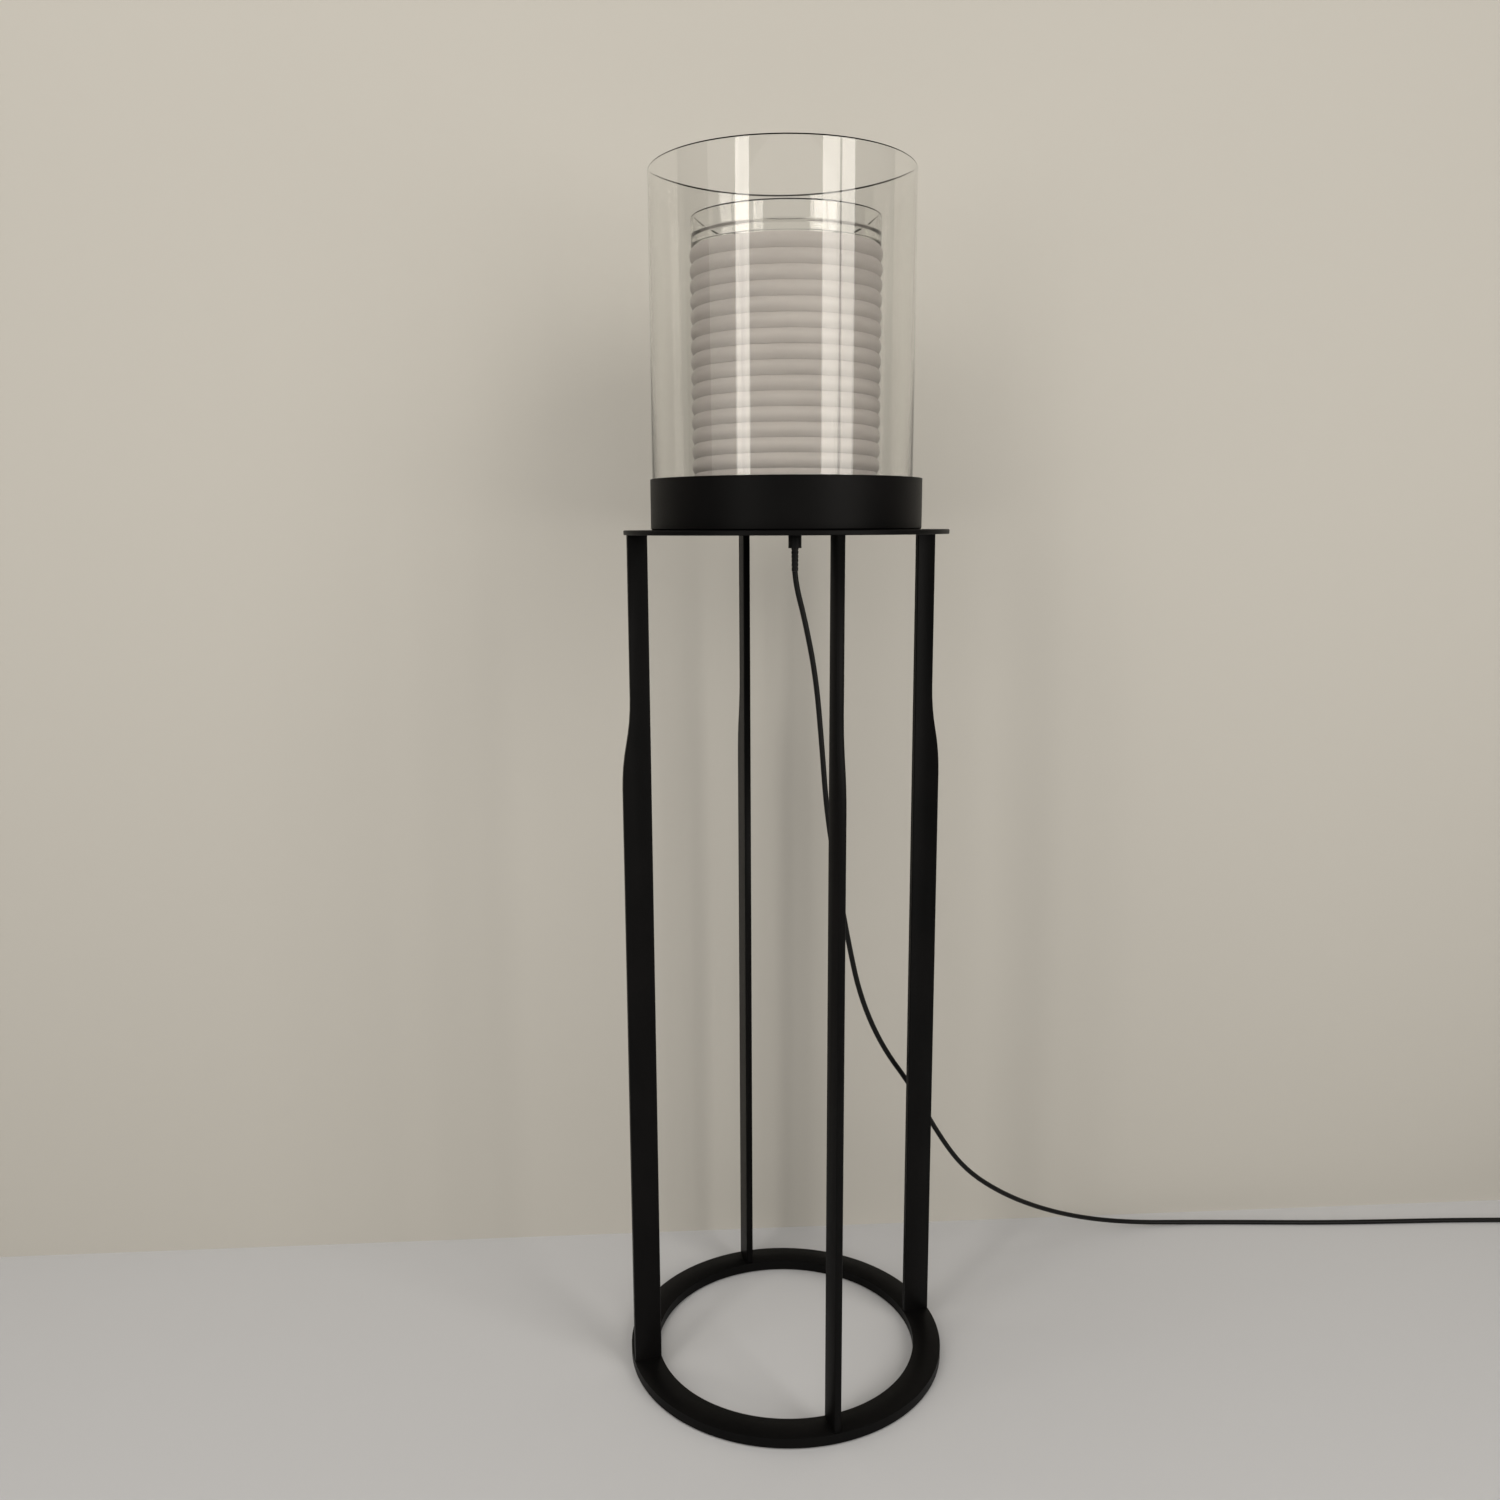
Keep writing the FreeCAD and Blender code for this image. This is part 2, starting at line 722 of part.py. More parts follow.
def power_cord():
    """The cord's free stretch, from the strain relief to the coil."""
    path, radii = rounded_route(cord_route)
    print("cord arc radii:", ", ".join("%.0f" % radius for radius in radii))
    solid = swept_tube(path, cord_radius, cord_route[0], cord_route[1] - cord_route[0])
    section = math.pi * cord_radius ** 2
    print("cord length %.0f, volume / (section x length) %.4f"
          % (path.Length, solid.Volume / (section * path.Length)))
    return solid


def coil_point(turn):
    """Point on the coil's centre line: spiral in, climb a layer, spiral out, clockwise from above."""
    climbed = turn - coil_turns_in
    if climbed <= 0:
        radius = coil_outer_radius - coil_pitch * turn
        lift = 0.0
    elif climbed <= coil_turns_climb:
        reversing = coil_turns_climb / 2 - abs(climbed - coil_turns_climb / 2)
        radius = coil_inner_radius - coil_pitch * reversing
        lift = coil_layer_rise * (1 - math.cos(math.pi * climbed / coil_turns_climb)) / 2
    else:
        radius = coil_inner_radius + coil_pitch * (climbed - coil_turns_climb)
        lift = coil_layer_rise
    angle = math.pi / 2 - 2 * math.pi * turn
    return coil_centre + Vector(radius * math.cos(angle), radius * math.sin(angle), lift)


def biarc(start, start_direction, end, end_direction):
    """Two arcs, tangent to each other and to both directions, between two points."""
    span = end - start
    directions = start_direction + end_direction
    turned = 1 - start_direction.dot(end_direction)
    if turned < 1e-9:
        reach = span.dot(span) / (2 * span.dot(directions))
    else:
        half = span.dot(directions)
        root = math.sqrt(half ** 2 + 2 * turned * span.dot(span))
        reach = (root - half) / (2 * turned)
    first_corner = start + start_direction * reach
    second_corner = end - end_direction * reach
    joint = (first_corner + second_corner) / 2
    return [tangent_arc(start, first_corner, joint), tangent_arc(joint, second_corner, end)]


def tangent_arc(start, corner, end):
    """Arc from start to end, tangent at each to its line to the corner, equally far from both."""
    direction_in = (corner - start).normalize()
    direction_out = (end - corner).normalize()
    half_turn = direction_in.getAngle(direction_out) / 2
    radius = (corner - start).Length / math.tan(half_turn)
    inwards = (direction_out - direction_in).normalize()
    middle = corner + inwards * (radius / math.cos(half_turn) - radius)
    return Part.Arc(start, middle, end).toShape()


def least_gap(path, step):
    """Least clear distance of a tube along a path to itself, on points a step apart."""
    points = path.discretize(Distance=step)
    apart = int(math.pi * cord_diameter / step)
    nearest = min(points[i].distanceToPoint(points[j])
                  for i in range(len(points)) for j in range(i + apart, len(points)))
    return nearest - cord_diameter


def coil_path():
    """Centre line of the coil: straight lead-in, quarter-turn biarcs, and the way to the plug."""
    quarters = round(4 * coil_turns)
    small = 1e-4
    points = [coil_point(index / 4) for index in range(quarters + 1)]
    directions = [(coil_point(index / 4 + small) - coil_point(index / 4 - small)).normalize()
                  for index in range(quarters + 1)]
    directions[0] = Vector(1, 0, 0)
    directions[-1] = Vector(0, -1, 0)
    edges = [Part.LineSegment(cord_route[-1], points[0]).toShape()]
    for index in range(quarters):
        edges += biarc(points[index], directions[index], points[index + 1], directions[index + 1])
    descent_end = Vector(points[-1].x, points[-1].y - coil_exit_run, plug_z)
    edges += biarc(points[-1], directions[-1], descent_end, directions[-1])
    edges.append(Part.LineSegment(descent_end, plug_start()).toShape())
    return Part.Wire(edges)


def plug_start():
    """Tip of the plug's strain relief, where the cord ends."""
    last = coil_point(coil_turns)
    return Vector(last.x, last.y - coil_exit_run - cord_diameter, plug_z)


def cord_coil():
    """Spare cord, wound in two layers as one unbroken tube."""
    path = coil_path()
    print("coil length %.0f, least gap to itself %.2f" % (path.Length, least_gap(path, 1.0)))
    return swept_tube(path, cord_radius, cord_route[-1], Vector(1, 0, 0))


# ---------------------------------------------------------------- plug
def plug_relief():
    """Tapered sleeve behind the plug."""
    return Part.makeCone(plug_relief_tip_diameter / 2, plug_relief_root_diameter / 2,
                         plug_relief_length, plug_start(), Vector(0, -1, 0))


def eight_sided(width, height, y, x, z, corner):
    """Closed wire across Y: a rectangle with its corners cut."""
    half_width = width / 2
    half_height = height / 2
    quarter = [(half_width, half_height - corner), (half_width - corner, half_height)]
    outline = quarter + [(-a, b) for a, b in reversed(quarter)]
    outline += [(-a, -b) for a, b in quarter] + [(a, -b) for a, b in reversed(quarter)]
    corners = [Vector(x + a, y, z + b) for a, b in outline]
    return Part.makePolygon(corners + corners[:1])


def plug_body():
    """Flat plug that widens from its strain relief to the pins' face."""
    tip = plug_start()
    rear_y = tip.y - plug_relief_length
    face_y = rear_y - plug_length
    rear = eight_sided(plug_rear_width, plug_rear_thickness, rear_y, tip.x, plug_z, plug_corner_break)
    front = eight_sided(plug_face_width, plug_thickness, face_y, tip.x, plug_z, plug_corner_break)
    return Part.makeLoft([rear, front], True, True)


def plug_pins():
    """Two round pins."""
    tip = plug_start()
    face_y = tip.y - plug_relief_length - plug_length
    pins = []
    for side in (-1, 1):
        start = Vector(tip.x + side * pin_spacing / 2, face_y, plug_z)
        pins.append(Part.makeCylinder(pin_diameter / 2, pin_length, start, Vector(0, -1, 0)))
    return Part.makeCompound(pins)


# ---------------------------------------------------------------- all nodes
def nodes():
    """Every sub-part by its node name."""
    made = {
        "base_pad": base_pad(),
        "base_ring": base_ring(),
        "top_plate": top_plate(),
        "drum": drum(),
        "drum_screws": drum_screws(),
        "drum_nuts": drum_nuts(),
        "seat_mat": seat_mat(),
        "locating_band": locating_band(),
        "outer_glass": glass_cylinder(
            outer_glass_diameter, outer_glass_height, outer_glass_wall, outer_glass_x),
        "inner_glass": glass_cylinder(inner_glass_diameter, inner_glass_height, inner_glass_wall),
        "ribbed_sleeve": ribbed_sleeve(),
        "holder_bracket": holder_bracket(),
        "nipple": nipple(),
        "nipple_washer": nipple_washer(),
        "nipple_nut": nipple_nut(),
        "holder_base": holder_base(),
        "holder_body": holder_body(),
        "holder_insert": holder_insert(),
        "screw_shell": screw_shell(),
        "centre_contact": centre_contact(),
        "bulb_tip": bulb_tip(),
        "bulb_cap": bulb_cap(),
        "bulb_skirt": bulb_skirt(),
        "bulb_globe": bulb_globe(),
        "gland_body": gland_body(),
        "gland_nut": gland_nut(),
        "strain_relief": strain_relief(),
        "cord_tail": cord_tail(),
        "core_live": core(-1),
        "core_neutral": core(1),
        "power_cord": power_cord(),
        "cord_coil": cord_coil(),
        "plug_relief": plug_relief(),
        "plug_body": plug_body(),
        "plug_pins": plug_pins(),
    }
    made.update(legs())
    return made


def main():
    """Build every sub-part and write its file."""
    os.makedirs("parts", exist_ok=True)
    for name, shape in nodes().items():
        shape.exportStep("parts/" + name + ".step")


main()
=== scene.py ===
"""Looks of a lantern floor lamp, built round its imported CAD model.

Metres, +Z up, the front is -Y, and the origin is the centre of the base on the floor.
"""
from __future__ import annotations

import functools
import logging
import math
from collections.abc import Callable
from dataclasses import dataclass, field
from enum import Enum

import bmesh
import bpy
from mathutils import Euler, Matrix, Vector

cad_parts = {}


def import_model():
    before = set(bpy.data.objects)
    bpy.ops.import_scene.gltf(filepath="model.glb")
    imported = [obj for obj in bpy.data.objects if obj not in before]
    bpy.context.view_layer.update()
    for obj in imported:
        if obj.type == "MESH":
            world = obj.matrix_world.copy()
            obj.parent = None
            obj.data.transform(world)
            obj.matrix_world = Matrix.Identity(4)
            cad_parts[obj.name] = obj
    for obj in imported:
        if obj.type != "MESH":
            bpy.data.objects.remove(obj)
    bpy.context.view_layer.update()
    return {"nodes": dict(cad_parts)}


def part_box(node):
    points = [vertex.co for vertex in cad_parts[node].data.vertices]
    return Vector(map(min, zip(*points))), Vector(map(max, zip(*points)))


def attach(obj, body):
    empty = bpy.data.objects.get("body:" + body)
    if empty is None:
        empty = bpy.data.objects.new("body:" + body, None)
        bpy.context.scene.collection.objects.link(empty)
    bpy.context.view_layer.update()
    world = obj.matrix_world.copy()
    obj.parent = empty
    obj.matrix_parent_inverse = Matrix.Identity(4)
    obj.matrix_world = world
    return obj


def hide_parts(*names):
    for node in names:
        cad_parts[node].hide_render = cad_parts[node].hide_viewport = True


LOG = logging.getLogger("lantern_lamp")
MM = 0.001
PHOTO_PIXELS = 1500
SENSOR_WIDTH = 36.0
MERGE_DISTANCE = 1e-6
SHARP_FROM = 35.0

# Every finish's colour drifts slowly, in patches about 70 mm across.
DRIFT_SCALE = 14.0
DRIFT_ENDS = (0.35, 0.7)
FINE_DETAIL = 3.0
SOFT_DETAIL = 1.0
GRAIN_STRENGTH = 0.6
WAVE_STRENGTH = 0.5
SUBSURFACE_REACH = 5 * MM

Point = tuple[float, float, float]
Outline = list[tuple[float, float]]


# ---------------------------------------------------------------- colour and node helpers
def linear(hex_colour: str) -> tuple[float, float, float, float]:
    """Turn an sRGB hex colour to the linear values that a socket takes.

    Args:
        hex_colour: Six hex digits after a hash sign.

    Returns:
        Red, green, blue and an alpha of 1.
    """
    channels = [int(hex_colour[i:i + 2], 16) / 255 for i in (1, 3, 5)]
    red, green, blue = (c / 12.92 if c <= 0.04045 else ((c + 0.055) / 1.055) ** 2.4 for c in channels)
    return red, green, blue, 1.0


def add_node(tree: bpy.types.NodeTree, kind: str, settings: dict | None = None,
             links: dict | None = None) -> bpy.types.Node:
    """Add a node, set its properties and sockets, and link its inputs.

    Args:
        tree: The node tree to add to.
        kind: The node's type name.
        settings: Properties by name, or input values by socket name or number.
        links: Output sockets by the name or number of the input they feed.

    Returns:
        The new node.
    """
    node = tree.nodes.new(kind)
    for name, value in (settings or {}).items():
        if isinstance(name, str) and hasattr(node, name) and name not in node.inputs:
            setattr(node, name, value)
        else:
            node.inputs[name].default_value = value
    for name, socket in (links or {}).items():
        tree.links.new(socket, node.inputs[name])
    return node


class Pattern(Enum):
    """How a finish breaks up its surface."""

    ORANGE_PEEL = "orange peel"
    FINE_GRAIN = "fine grain"
    FOAM_CELLS = "foam cells"


@dataclass(frozen=True)
class Finish:
    """A surface finish: its colour, its shine, and the grain that breaks it up.

    Attributes:
        name: Name of the material.
        colour: Base colour, as sRGB hex.
        second_colour: Colour that the grain drifts to, as sRGB hex.
        roughness: Middle roughness.
        roughness_swing: How far the grain moves the roughness either way.
        metallic: 1 for bare metal.
        ior: Index of refraction.
        pattern: What the grain is.
        grain: Size of the grain in millimetres.
        relief: Height of the grain in millimetres.
        specular: Strength of the shine against that of the index, which is 0.5.
        subsurface: Weight of light carried under the surface.
    """

    name: str
    colour: str
    second_colour: str
    roughness: float
    roughness_swing: float = 0.05
    metallic: float = 0.0
    ior: float = 1.5
    pattern: Pattern = Pattern.FINE_GRAIN
    grain: float = 0.6
    relief: float = 0.01
    specular: float = 0.5
    subsurface: float = 0.0

    @functools.cache
    def material(self) -> bpy.types.Material:
        """Make the finish's material, once.

        Returns:
            The material.
        """
        made = bpy.data.materials.new(self.name)
        made.use_nodes = True
        self.build(made.node_tree)
        return made

    def grain_height(self, tree: bpy.types.NodeTree, place: bpy.types.NodeSocket) -> bpy.types.NodeSocket:
        """Add the nodes of the grain.

        Args:
            tree: The material's tree.
            place: The socket that gives the place on the piece.

        Returns:
            The socket that holds the grain's height, from 0 to 1.
        """
        scale = 1 / (self.grain * MM)
        if self.pattern is Pattern.FOAM_CELLS:
            cells = add_node(tree, "ShaderNodeTexVoronoi", {"Scale": scale}, {"Vector": place})
            return cells.outputs["Distance"]
        detail = SOFT_DETAIL if self.pattern is Pattern.ORANGE_PEEL else FINE_DETAIL
        return add_node(tree, "ShaderNodeTexNoise", {"Scale": scale, "Detail": detail},
                        {"Vector": place}).outputs[0]

    def build(self, tree: bpy.types.NodeTree) -> None:
        """Fill the material's tree.

        Args:
            tree: The material's tree, with its first two nodes.
        """
        shader = tree.nodes["Principled BSDF"]
        for socket, value in {"Metallic": self.metallic, "IOR": self.ior,
                              "Specular IOR Level": self.specular, "Subsurface Weight": self.subsurface,
                              "Subsurface Radius": (1.0, 1.0, 1.0),
                              "Subsurface Scale": SUBSURFACE_REACH}.items():
            shader.inputs[socket].default_value = value
        place = add_node(tree, "ShaderNodeTexCoord").outputs["Object"]
        height = self.grain_height(tree, place)
        drift = add_node(tree, "ShaderNodeTexNoise", {"Scale": DRIFT_SCALE, "Detail": FINE_DETAIL},
                         {"Vector": place})
        ramp = add_node(tree, "ShaderNodeValToRGB", links={"Fac": drift.outputs[0]})
        for stop, position, colour in zip(ramp.color_ramp.elements, DRIFT_ENDS,
                                          (self.colour, self.second_colour)):
            stop.position = position
            stop.color = linear(colour)
        tree.links.new(ramp.outputs["Color"], shader.inputs["Base Color"])
        rough = add_node(tree, "ShaderNodeMapRange", {
            "To Min": self.roughness - self.roughness_swing,
            "To Max": self.roughness + self.roughness_swing}, {"Value": height})
        tree.links.new(rough.outputs["Result"], shader.inputs["Roughness"])
        bump = add_node(tree, "ShaderNodeBump", {"Strength": GRAIN_STRENGTH, "Distance": self.relief * MM},
                        {"Height": height})
        tree.links.new(bump.outputs["Normal"], shader.inputs["Normal"])


@dataclass(frozen=True)
class Glass:
    """Clear glass that lets lamps shine through to what stands behind it.

    Attributes:
        name: Name of the material.
        colour: Tint of the glass, as sRGB hex.
        ior: Index of refraction.
        roughness: Roughness of the polished surface.
        wave: Width in millimetres of the soft waves that drawing leaves.
        wave_stretch: That width over the waves' length along the axis.
        relief: Height of those waves in millimetres.
        depth_colour: Colour that light takes on along the glass, as sRGB hex.
        depth_tint: How fast it does, per metre.
    """

    name: str
    colour: str
    ior: float = 1.5
    roughness: float = 0.0
    wave: float = 45.0
    wave_stretch: float = 0.35
    relief: float = 0.05
    depth_colour: str = "#c2bfae"
    depth_tint: float = 26.0

    @functools.cache
    def material(self) -> bpy.types.Material:
        """Make the glass's material, once.

        Returns:
            The material.
        """
        made = bpy.data.materials.new(self.name)
        made.use_nodes = True
        self.build(made.node_tree)
        return made

    def build(self, tree: bpy.types.NodeTree) -> None:
        """Fill the material's tree.

        Args:
            tree: The material's tree, with its first two nodes.
        """
        shader = tree.nodes["Principled BSDF"]
        output = tree.nodes["Material Output"]
        for socket, value in {"Base Color": linear(self.colour), "Transmission Weight": 1.0,
                              "Roughness": self.roughness, "IOR": self.ior}.items():
            shader.inputs[socket].default_value = value
        place = add_node(tree, "ShaderNodeTexCoord").outputs["Object"]
        stretch = add_node(tree, "ShaderNodeMapping", {"Scale": (1.0, 1.0, self.wave_stretch)},
                           {"Vector": place})
        waves = add_node(tree, "ShaderNodeTexNoise", {"Scale": 1 / (self.wave * MM), "Detail": 0.0},
                         {"Vector": stretch.outputs["Vector"]})
        bump = add_node(tree, "ShaderNodeBump", {"Strength": WAVE_STRENGTH, "Distance": self.relief * MM},
                        {"Height": waves.outputs[0]})
        tree.links.new(bump.outputs["Normal"], shader.inputs["Normal"])
        clear = add_node(tree, "ShaderNodeBsdfTransparent", {"Color": linear(self.colour)})
        path = add_node(tree, "ShaderNodeLightPath")
        mix = add_node(tree, "ShaderNodeMixShader", links={
            0: path.outputs["Is Shadow Ray"], 1: shader.outputs["BSDF"], 2: clear.outputs["BSDF"]})
        tree.links.new(mix.outputs["Shader"], output.inputs["Surface"])
        depth = add_node(tree, "ShaderNodeVolumeAbsorption", {
            "Color": linear(self.depth_colour), "Density": self.depth_tint})
        tree.links.new(depth.outputs["Volume"], output.inputs["Volume"])


# Steel with an epoxy-polyester powder coat, sprayed dry and melted in an oven: deep black, with the
# faint orange peel of a coat that flowed, 1.5 mm from crest to crest. Its shine is set low, so that
# it comes out as black as in the photograph.
POWDER_COAT = Finish("black_powder_coat", "#0b0b0b", "#100f0f", 0.44, 0.05, ior=1.52,
                     pattern=Pattern.ORANGE_PEEL, grain=1.5, relief=0.03, specular=0.06)
# Closed-cell EVA foam, cut from a block: dull and near black, with open cells on the cut face. They
# are about 0.3 mm wide, and are drawn at 0.8 mm to show.
FOAM = Finish("eva_foam", "#1b1b1a", "#222120", 0.9, 0.05, pattern=Pattern.FOAM_CELLS, grain=0.8,
              relief=0.05)
# Injection-moulded nylon: a dull shine, broken by the grain of a spark-eroded mould. The grain is
# about 0.05 mm, and is drawn at 0.3 mm to show.
NYLON = Finish("moulded_nylon", "#0f0f0f", "#151414", 0.5, 0.06, ior=1.53, grain=0.3, relief=0.02,
               specular=0.15)
# PVC, extruded over the cores: black, with a low even shine and a slight grain from the die. The
# grain is about 0.1 mm, and is drawn at 0.5 mm to show.
PVC_SHEATH = Finish("pvc_sheath", "#0e0e0e", "#141313", 0.42, 0.06, ior=1.53, grain=0.5, relief=0.015,
                    specular=0.15)
# Phenolic resin, pressed hot in a polished mould: hard, brownish black, with a clear shine. Its
# grain of wood flour is drawn at 0.5 mm, coarser than it is, to show.
PHENOLIC = Finish("black_phenolic", "#171615", "#201e1c", 0.35, 0.06, ior=1.6, grain=0.5, relief=0.01)
# Zinc, electroplated on pressed steel: a pale bluish metal, softly uneven. Its crystals are far
# finer than the 0.8 mm that they are drawn at to show.
ZINC = Finish("zinc_plate", "#b9bcc0", "#a7abb0", 0.32, 0.08, metallic=1.0, grain=0.8, relief=0.006)
# The same plating, passivated black in a bath: a dark grey metal with a dull shine, its grain drawn
# coarser than it is for the same reason.
BLACK_ZINC = Finish("black_zinc", "#2a2a2a", "#333231", 0.4, 0.06, metallic=1.0, grain=0.5, relief=0.005)
# Nickel, plated bright on drawn brass: a warm white metal, with slight waves left by the drawing.
NICKEL = Finish("nickel_plate", "#cfcabf", "#bdb7aa", 0.22, 0.06, metallic=1.0, grain=1.2, relief=0.004)
# Brass strip, rolled and left bare: a yellow metal with a satin shine. Its rolling marks are finer
# than the 0.8 mm that they are drawn at to show.
BRASS = Finish("bare_brass", "#c9a55c", "#b58f49", 0.32, 0.06, metallic=1.0, grain=0.8, relief=0.004)
# Steatite, pressed, fired and glazed: a creamy white ceramic with a glassy shine, and ripples 2 mm
# long where the glaze ran.
STEATITE = Finish("glazed_steatite", "#e9e4d8", "#ded8ca", 0.18, 0.05, ior=1.62, grain=2.0, relief=0.01)
# Opal polycarbonate, blow-moulded: milky, with light carried under a smooth skin that waves a
# little, 3 mm from crest to crest.
OPAL = Finish("opal_polycarbonate", "#eceae3", "#e4e1d8", 0.3, 0.04, ior=1.58, grain=3.0, relief=0.005,
              subsurface=0.3)
# White thermoplastic, injection-moulded: plain and dull, with a mould grain that is drawn at
# 0.6 mm, coarser than it is, to show.
BULB_PLASTIC = Finish("white_thermoplastic", "#e3e2dc", "#dad8d0", 0.45, 0.05, grain=0.6, relief=0.01)
# PVC insulation, extruded on each core: brown for live and blue for neutral, evenly dull. Its grain
# is drawn at 0.6 mm, coarser than it is, to show.
CORE_BROWN = Finish("core_brown", "#6b3a1e", "#5e3219", 0.5, 0.05, grain=0.6, relief=0.01)
CORE_BLUE = Finish("core_blue", "#2d5c9e", "#27538f", 0.5, 0.05, grain=0.6, relief=0.01)
# Soda-lime glass, blown and fire-polished: clear, with soft waves down the wall, and a little warm
# and dark where the eye looks along it.
CLEAR_GLASS = Glass("soda_lime_glass", "#ffffff", 1.52)
# The flame-polished rim of that glass, with painted shade: a dark olive-brown tint on the rim stands in for
# the dark line that the rim shows where the eye looks along the wall.
PAINTED_SHADE_RIM_GLASS = Glass("rim_painted_shade", "#6a6454", 1.52, relief=0.0)
# Satin acrylic of the ribbed sleeve, pressed in a ribbed mould: warm grey and cloudy, with light
# carried under a soft, finely matted skin. The matting is drawn at 1.5 mm to show.
GREY_ACRYLIC = Finish("satin_grey_acrylic", "#98938f", "#908b87", 0.55, 0.05, ior=1.49,
                      grain=1.5, relief=0.02, specular=0.3, subsurface=0.8)


# ---------------------------------------------------------------- mesh helpers
def finished(obj: bpy.types.Object, finish: Finish | Glass) -> bpy.types.Object:
    """Give a finish to every material slot of an object.

    Args:
        obj: The object to dress.
        finish: What to dress it in.

    Returns:
        The same object.
    """
    if not obj.data.materials:
        obj.data.materials.append(finish.material())
    for slot in obj.material_slots:
        slot.material = finish.material()
    return obj


def object_from(mesh: bpy.types.Mesh, name: str) -> bpy.types.Object:
    """Put a mesh in the scene as an object at the origin.

    Args:
        mesh: The mesh, which takes the object's name.
        name: Name of the object.

    Returns:
        The object.
    """
    mesh.name = name
    obj = bpy.data.objects.new(name, mesh)
    bpy.context.scene.collection.objects.link(obj)
    return obj


def smooth(mesh: bpy.types.Mesh, sharp_from: float = SHARP_FROM) -> None:
    """Shade a mesh smooth, apart from edges that turn by more than some degrees."""
    mesh.shade_smooth()
    mesh.set_sharp_from_angle(angle=math.radians(sharp_from))


def object_from_shape(shape: bmesh.types.BMesh, name: str,
                      sharp_from: float = SHARP_FROM) -> bpy.types.Object:
    """Turn a closed shape's faces outwards, shade it, and put it in the scene.

    Args:
        shape: The shape, which is freed.
        name: Name of the object.
        sharp_from: Degrees from which an edge stays sharp.

    Returns:
        The object.
    """
    bmesh.ops.recalc_face_normals(shape, faces=shape.faces)
    mesh = bpy.data.meshes.new(name)
    shape.to_mesh(mesh)
    shape.free()
    smooth(mesh, sharp_from)
    return object_from(mesh, name)


def corners_of(node: str) -> tuple[Vector, Vector]:
    """Return the low and the high corner of a CAD node's box."""
    low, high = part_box(node)
    return Vector(low), Vector(high)


def rounded(outline: Outline, radii: dict[int, float], steps: int) -> Outline:
    """Round corners of an outline with arcs.

    Args:
        outline: Corner points in order.
        radii: Radius by the number of the corner.
        steps: Faces along each arc.

    Returns:
        The outline with its chosen corners rounded.
    """
    made: Outline = []
    count = len(outline)
    for index, corner in enumerate(outline):
        if index not in radii:
            made.append(corner)
            continue
        here = Vector(corner)
        before = (Vector(outline[index - 1]) - here).normalized()
        after = (Vector(outline[(index + 1) % count]) - here).normalized()
        half = before.angle(after) / 2
        reach = radii[index] / math.tan(half)
        middle = here + (before + after).normalized() * (radii[index] / math.sin(half))
        start = (here + before * reach - middle).normalized()
        end = (here + after * reach - middle).normalized()
        for step in range(steps + 1):
            made.append(tuple(middle + start.slerp(end, step / steps) * radii[index]))
    return made


def lathe(name: str, outline: Outline, segments: int, centre: tuple[float, float] = (0.0, 0.0),
          closed: bool = True) -> bpy.types.Object:
    """Turn an outline about a vertical axis.

    Args:
        name: Name of the object.
        outline: Radius and height of each point; a radius of 0 is a pole.
        segments: Faces round the axis.
        centre: Where the axis stands.
        closed: Whether the last point joins the first.

    Returns:
        The turned object.
    """
    shape = bmesh.new()
    rings = []
    for radius, height in outline:
        if radius == 0:
            rings.append([shape.verts.new((centre[0], centre[1], height))] * segments)
            continue
        rings.append([shape.verts.new((centre[0] + radius * math.cos(math.tau * i / segments),
                                       centre[1] + radius * math.sin(math.tau * i / segments), height))
                      for i in range(segments)])
    pairs = list(zip(rings, rings[1:])) + ([(rings[-1], rings[0])] if closed else [])
    for low, high in pairs:
        for i in range(segments):
            j = (i + 1) % segments
            corners = list(dict.fromkeys((low[i], low[j], high[j], high[i])))
            if len(corners) > 2:
                shape.faces.new(corners)
    return object_from_shape(shape, name)


def skinned(name: str, sections: list[list[Vector]], sharp_from: float = SHARP_FROM) -> bpy.types.Object:
    """Skin a row of closed sections that have equally many points, and cap both ends.

    Args:
        name: Name of the object.
        sections: The points of each section, in order.
        sharp_from: Degrees from which an edge stays sharp.

    Returns:
        The skinned object.
    """
    shape = bmesh.new()
    rings = [[shape.verts.new(point) for point in section] for section in sections]
    for low, high in zip(rings, rings[1:]):
        for i in range(len(low)):
            j = (i + 1) % len(low)
            shape.faces.new((low[i], low[j], high[j], high[i]))
    shape.faces.new(list(reversed(rings[0])))
    shape.faces.new(rings[-1])
    return object_from_shape(shape, name, sharp_from)


def reshape(source: bpy.types.Object, body: str, move: Callable[[Vector], Vector]) -> None:
    """Put in place of a CAD node a copy with its points moved.

    Args:
        source: The CAD node.
        body: The body that the copy moves with.
        move: Gives the new place of a point in the scene.
    """
    shape = bmesh.new()
    shape.from_mesh(source.data)
    bmesh.ops.remove_doubles(shape, verts=shape.verts, dist=MERGE_DISTANCE)
    for vertex in shape.verts:
        vertex.co = move(source.matrix_world @ vertex.co)
    mesh = source.data.copy()
    shape.to_mesh(mesh)
    shape.free()
    smooth(mesh)
    copy = object_from(mesh, source.name + "_look")
    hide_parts(source.name)
    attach(copy, body)
    LOG.info("reshaped %s", source.name)


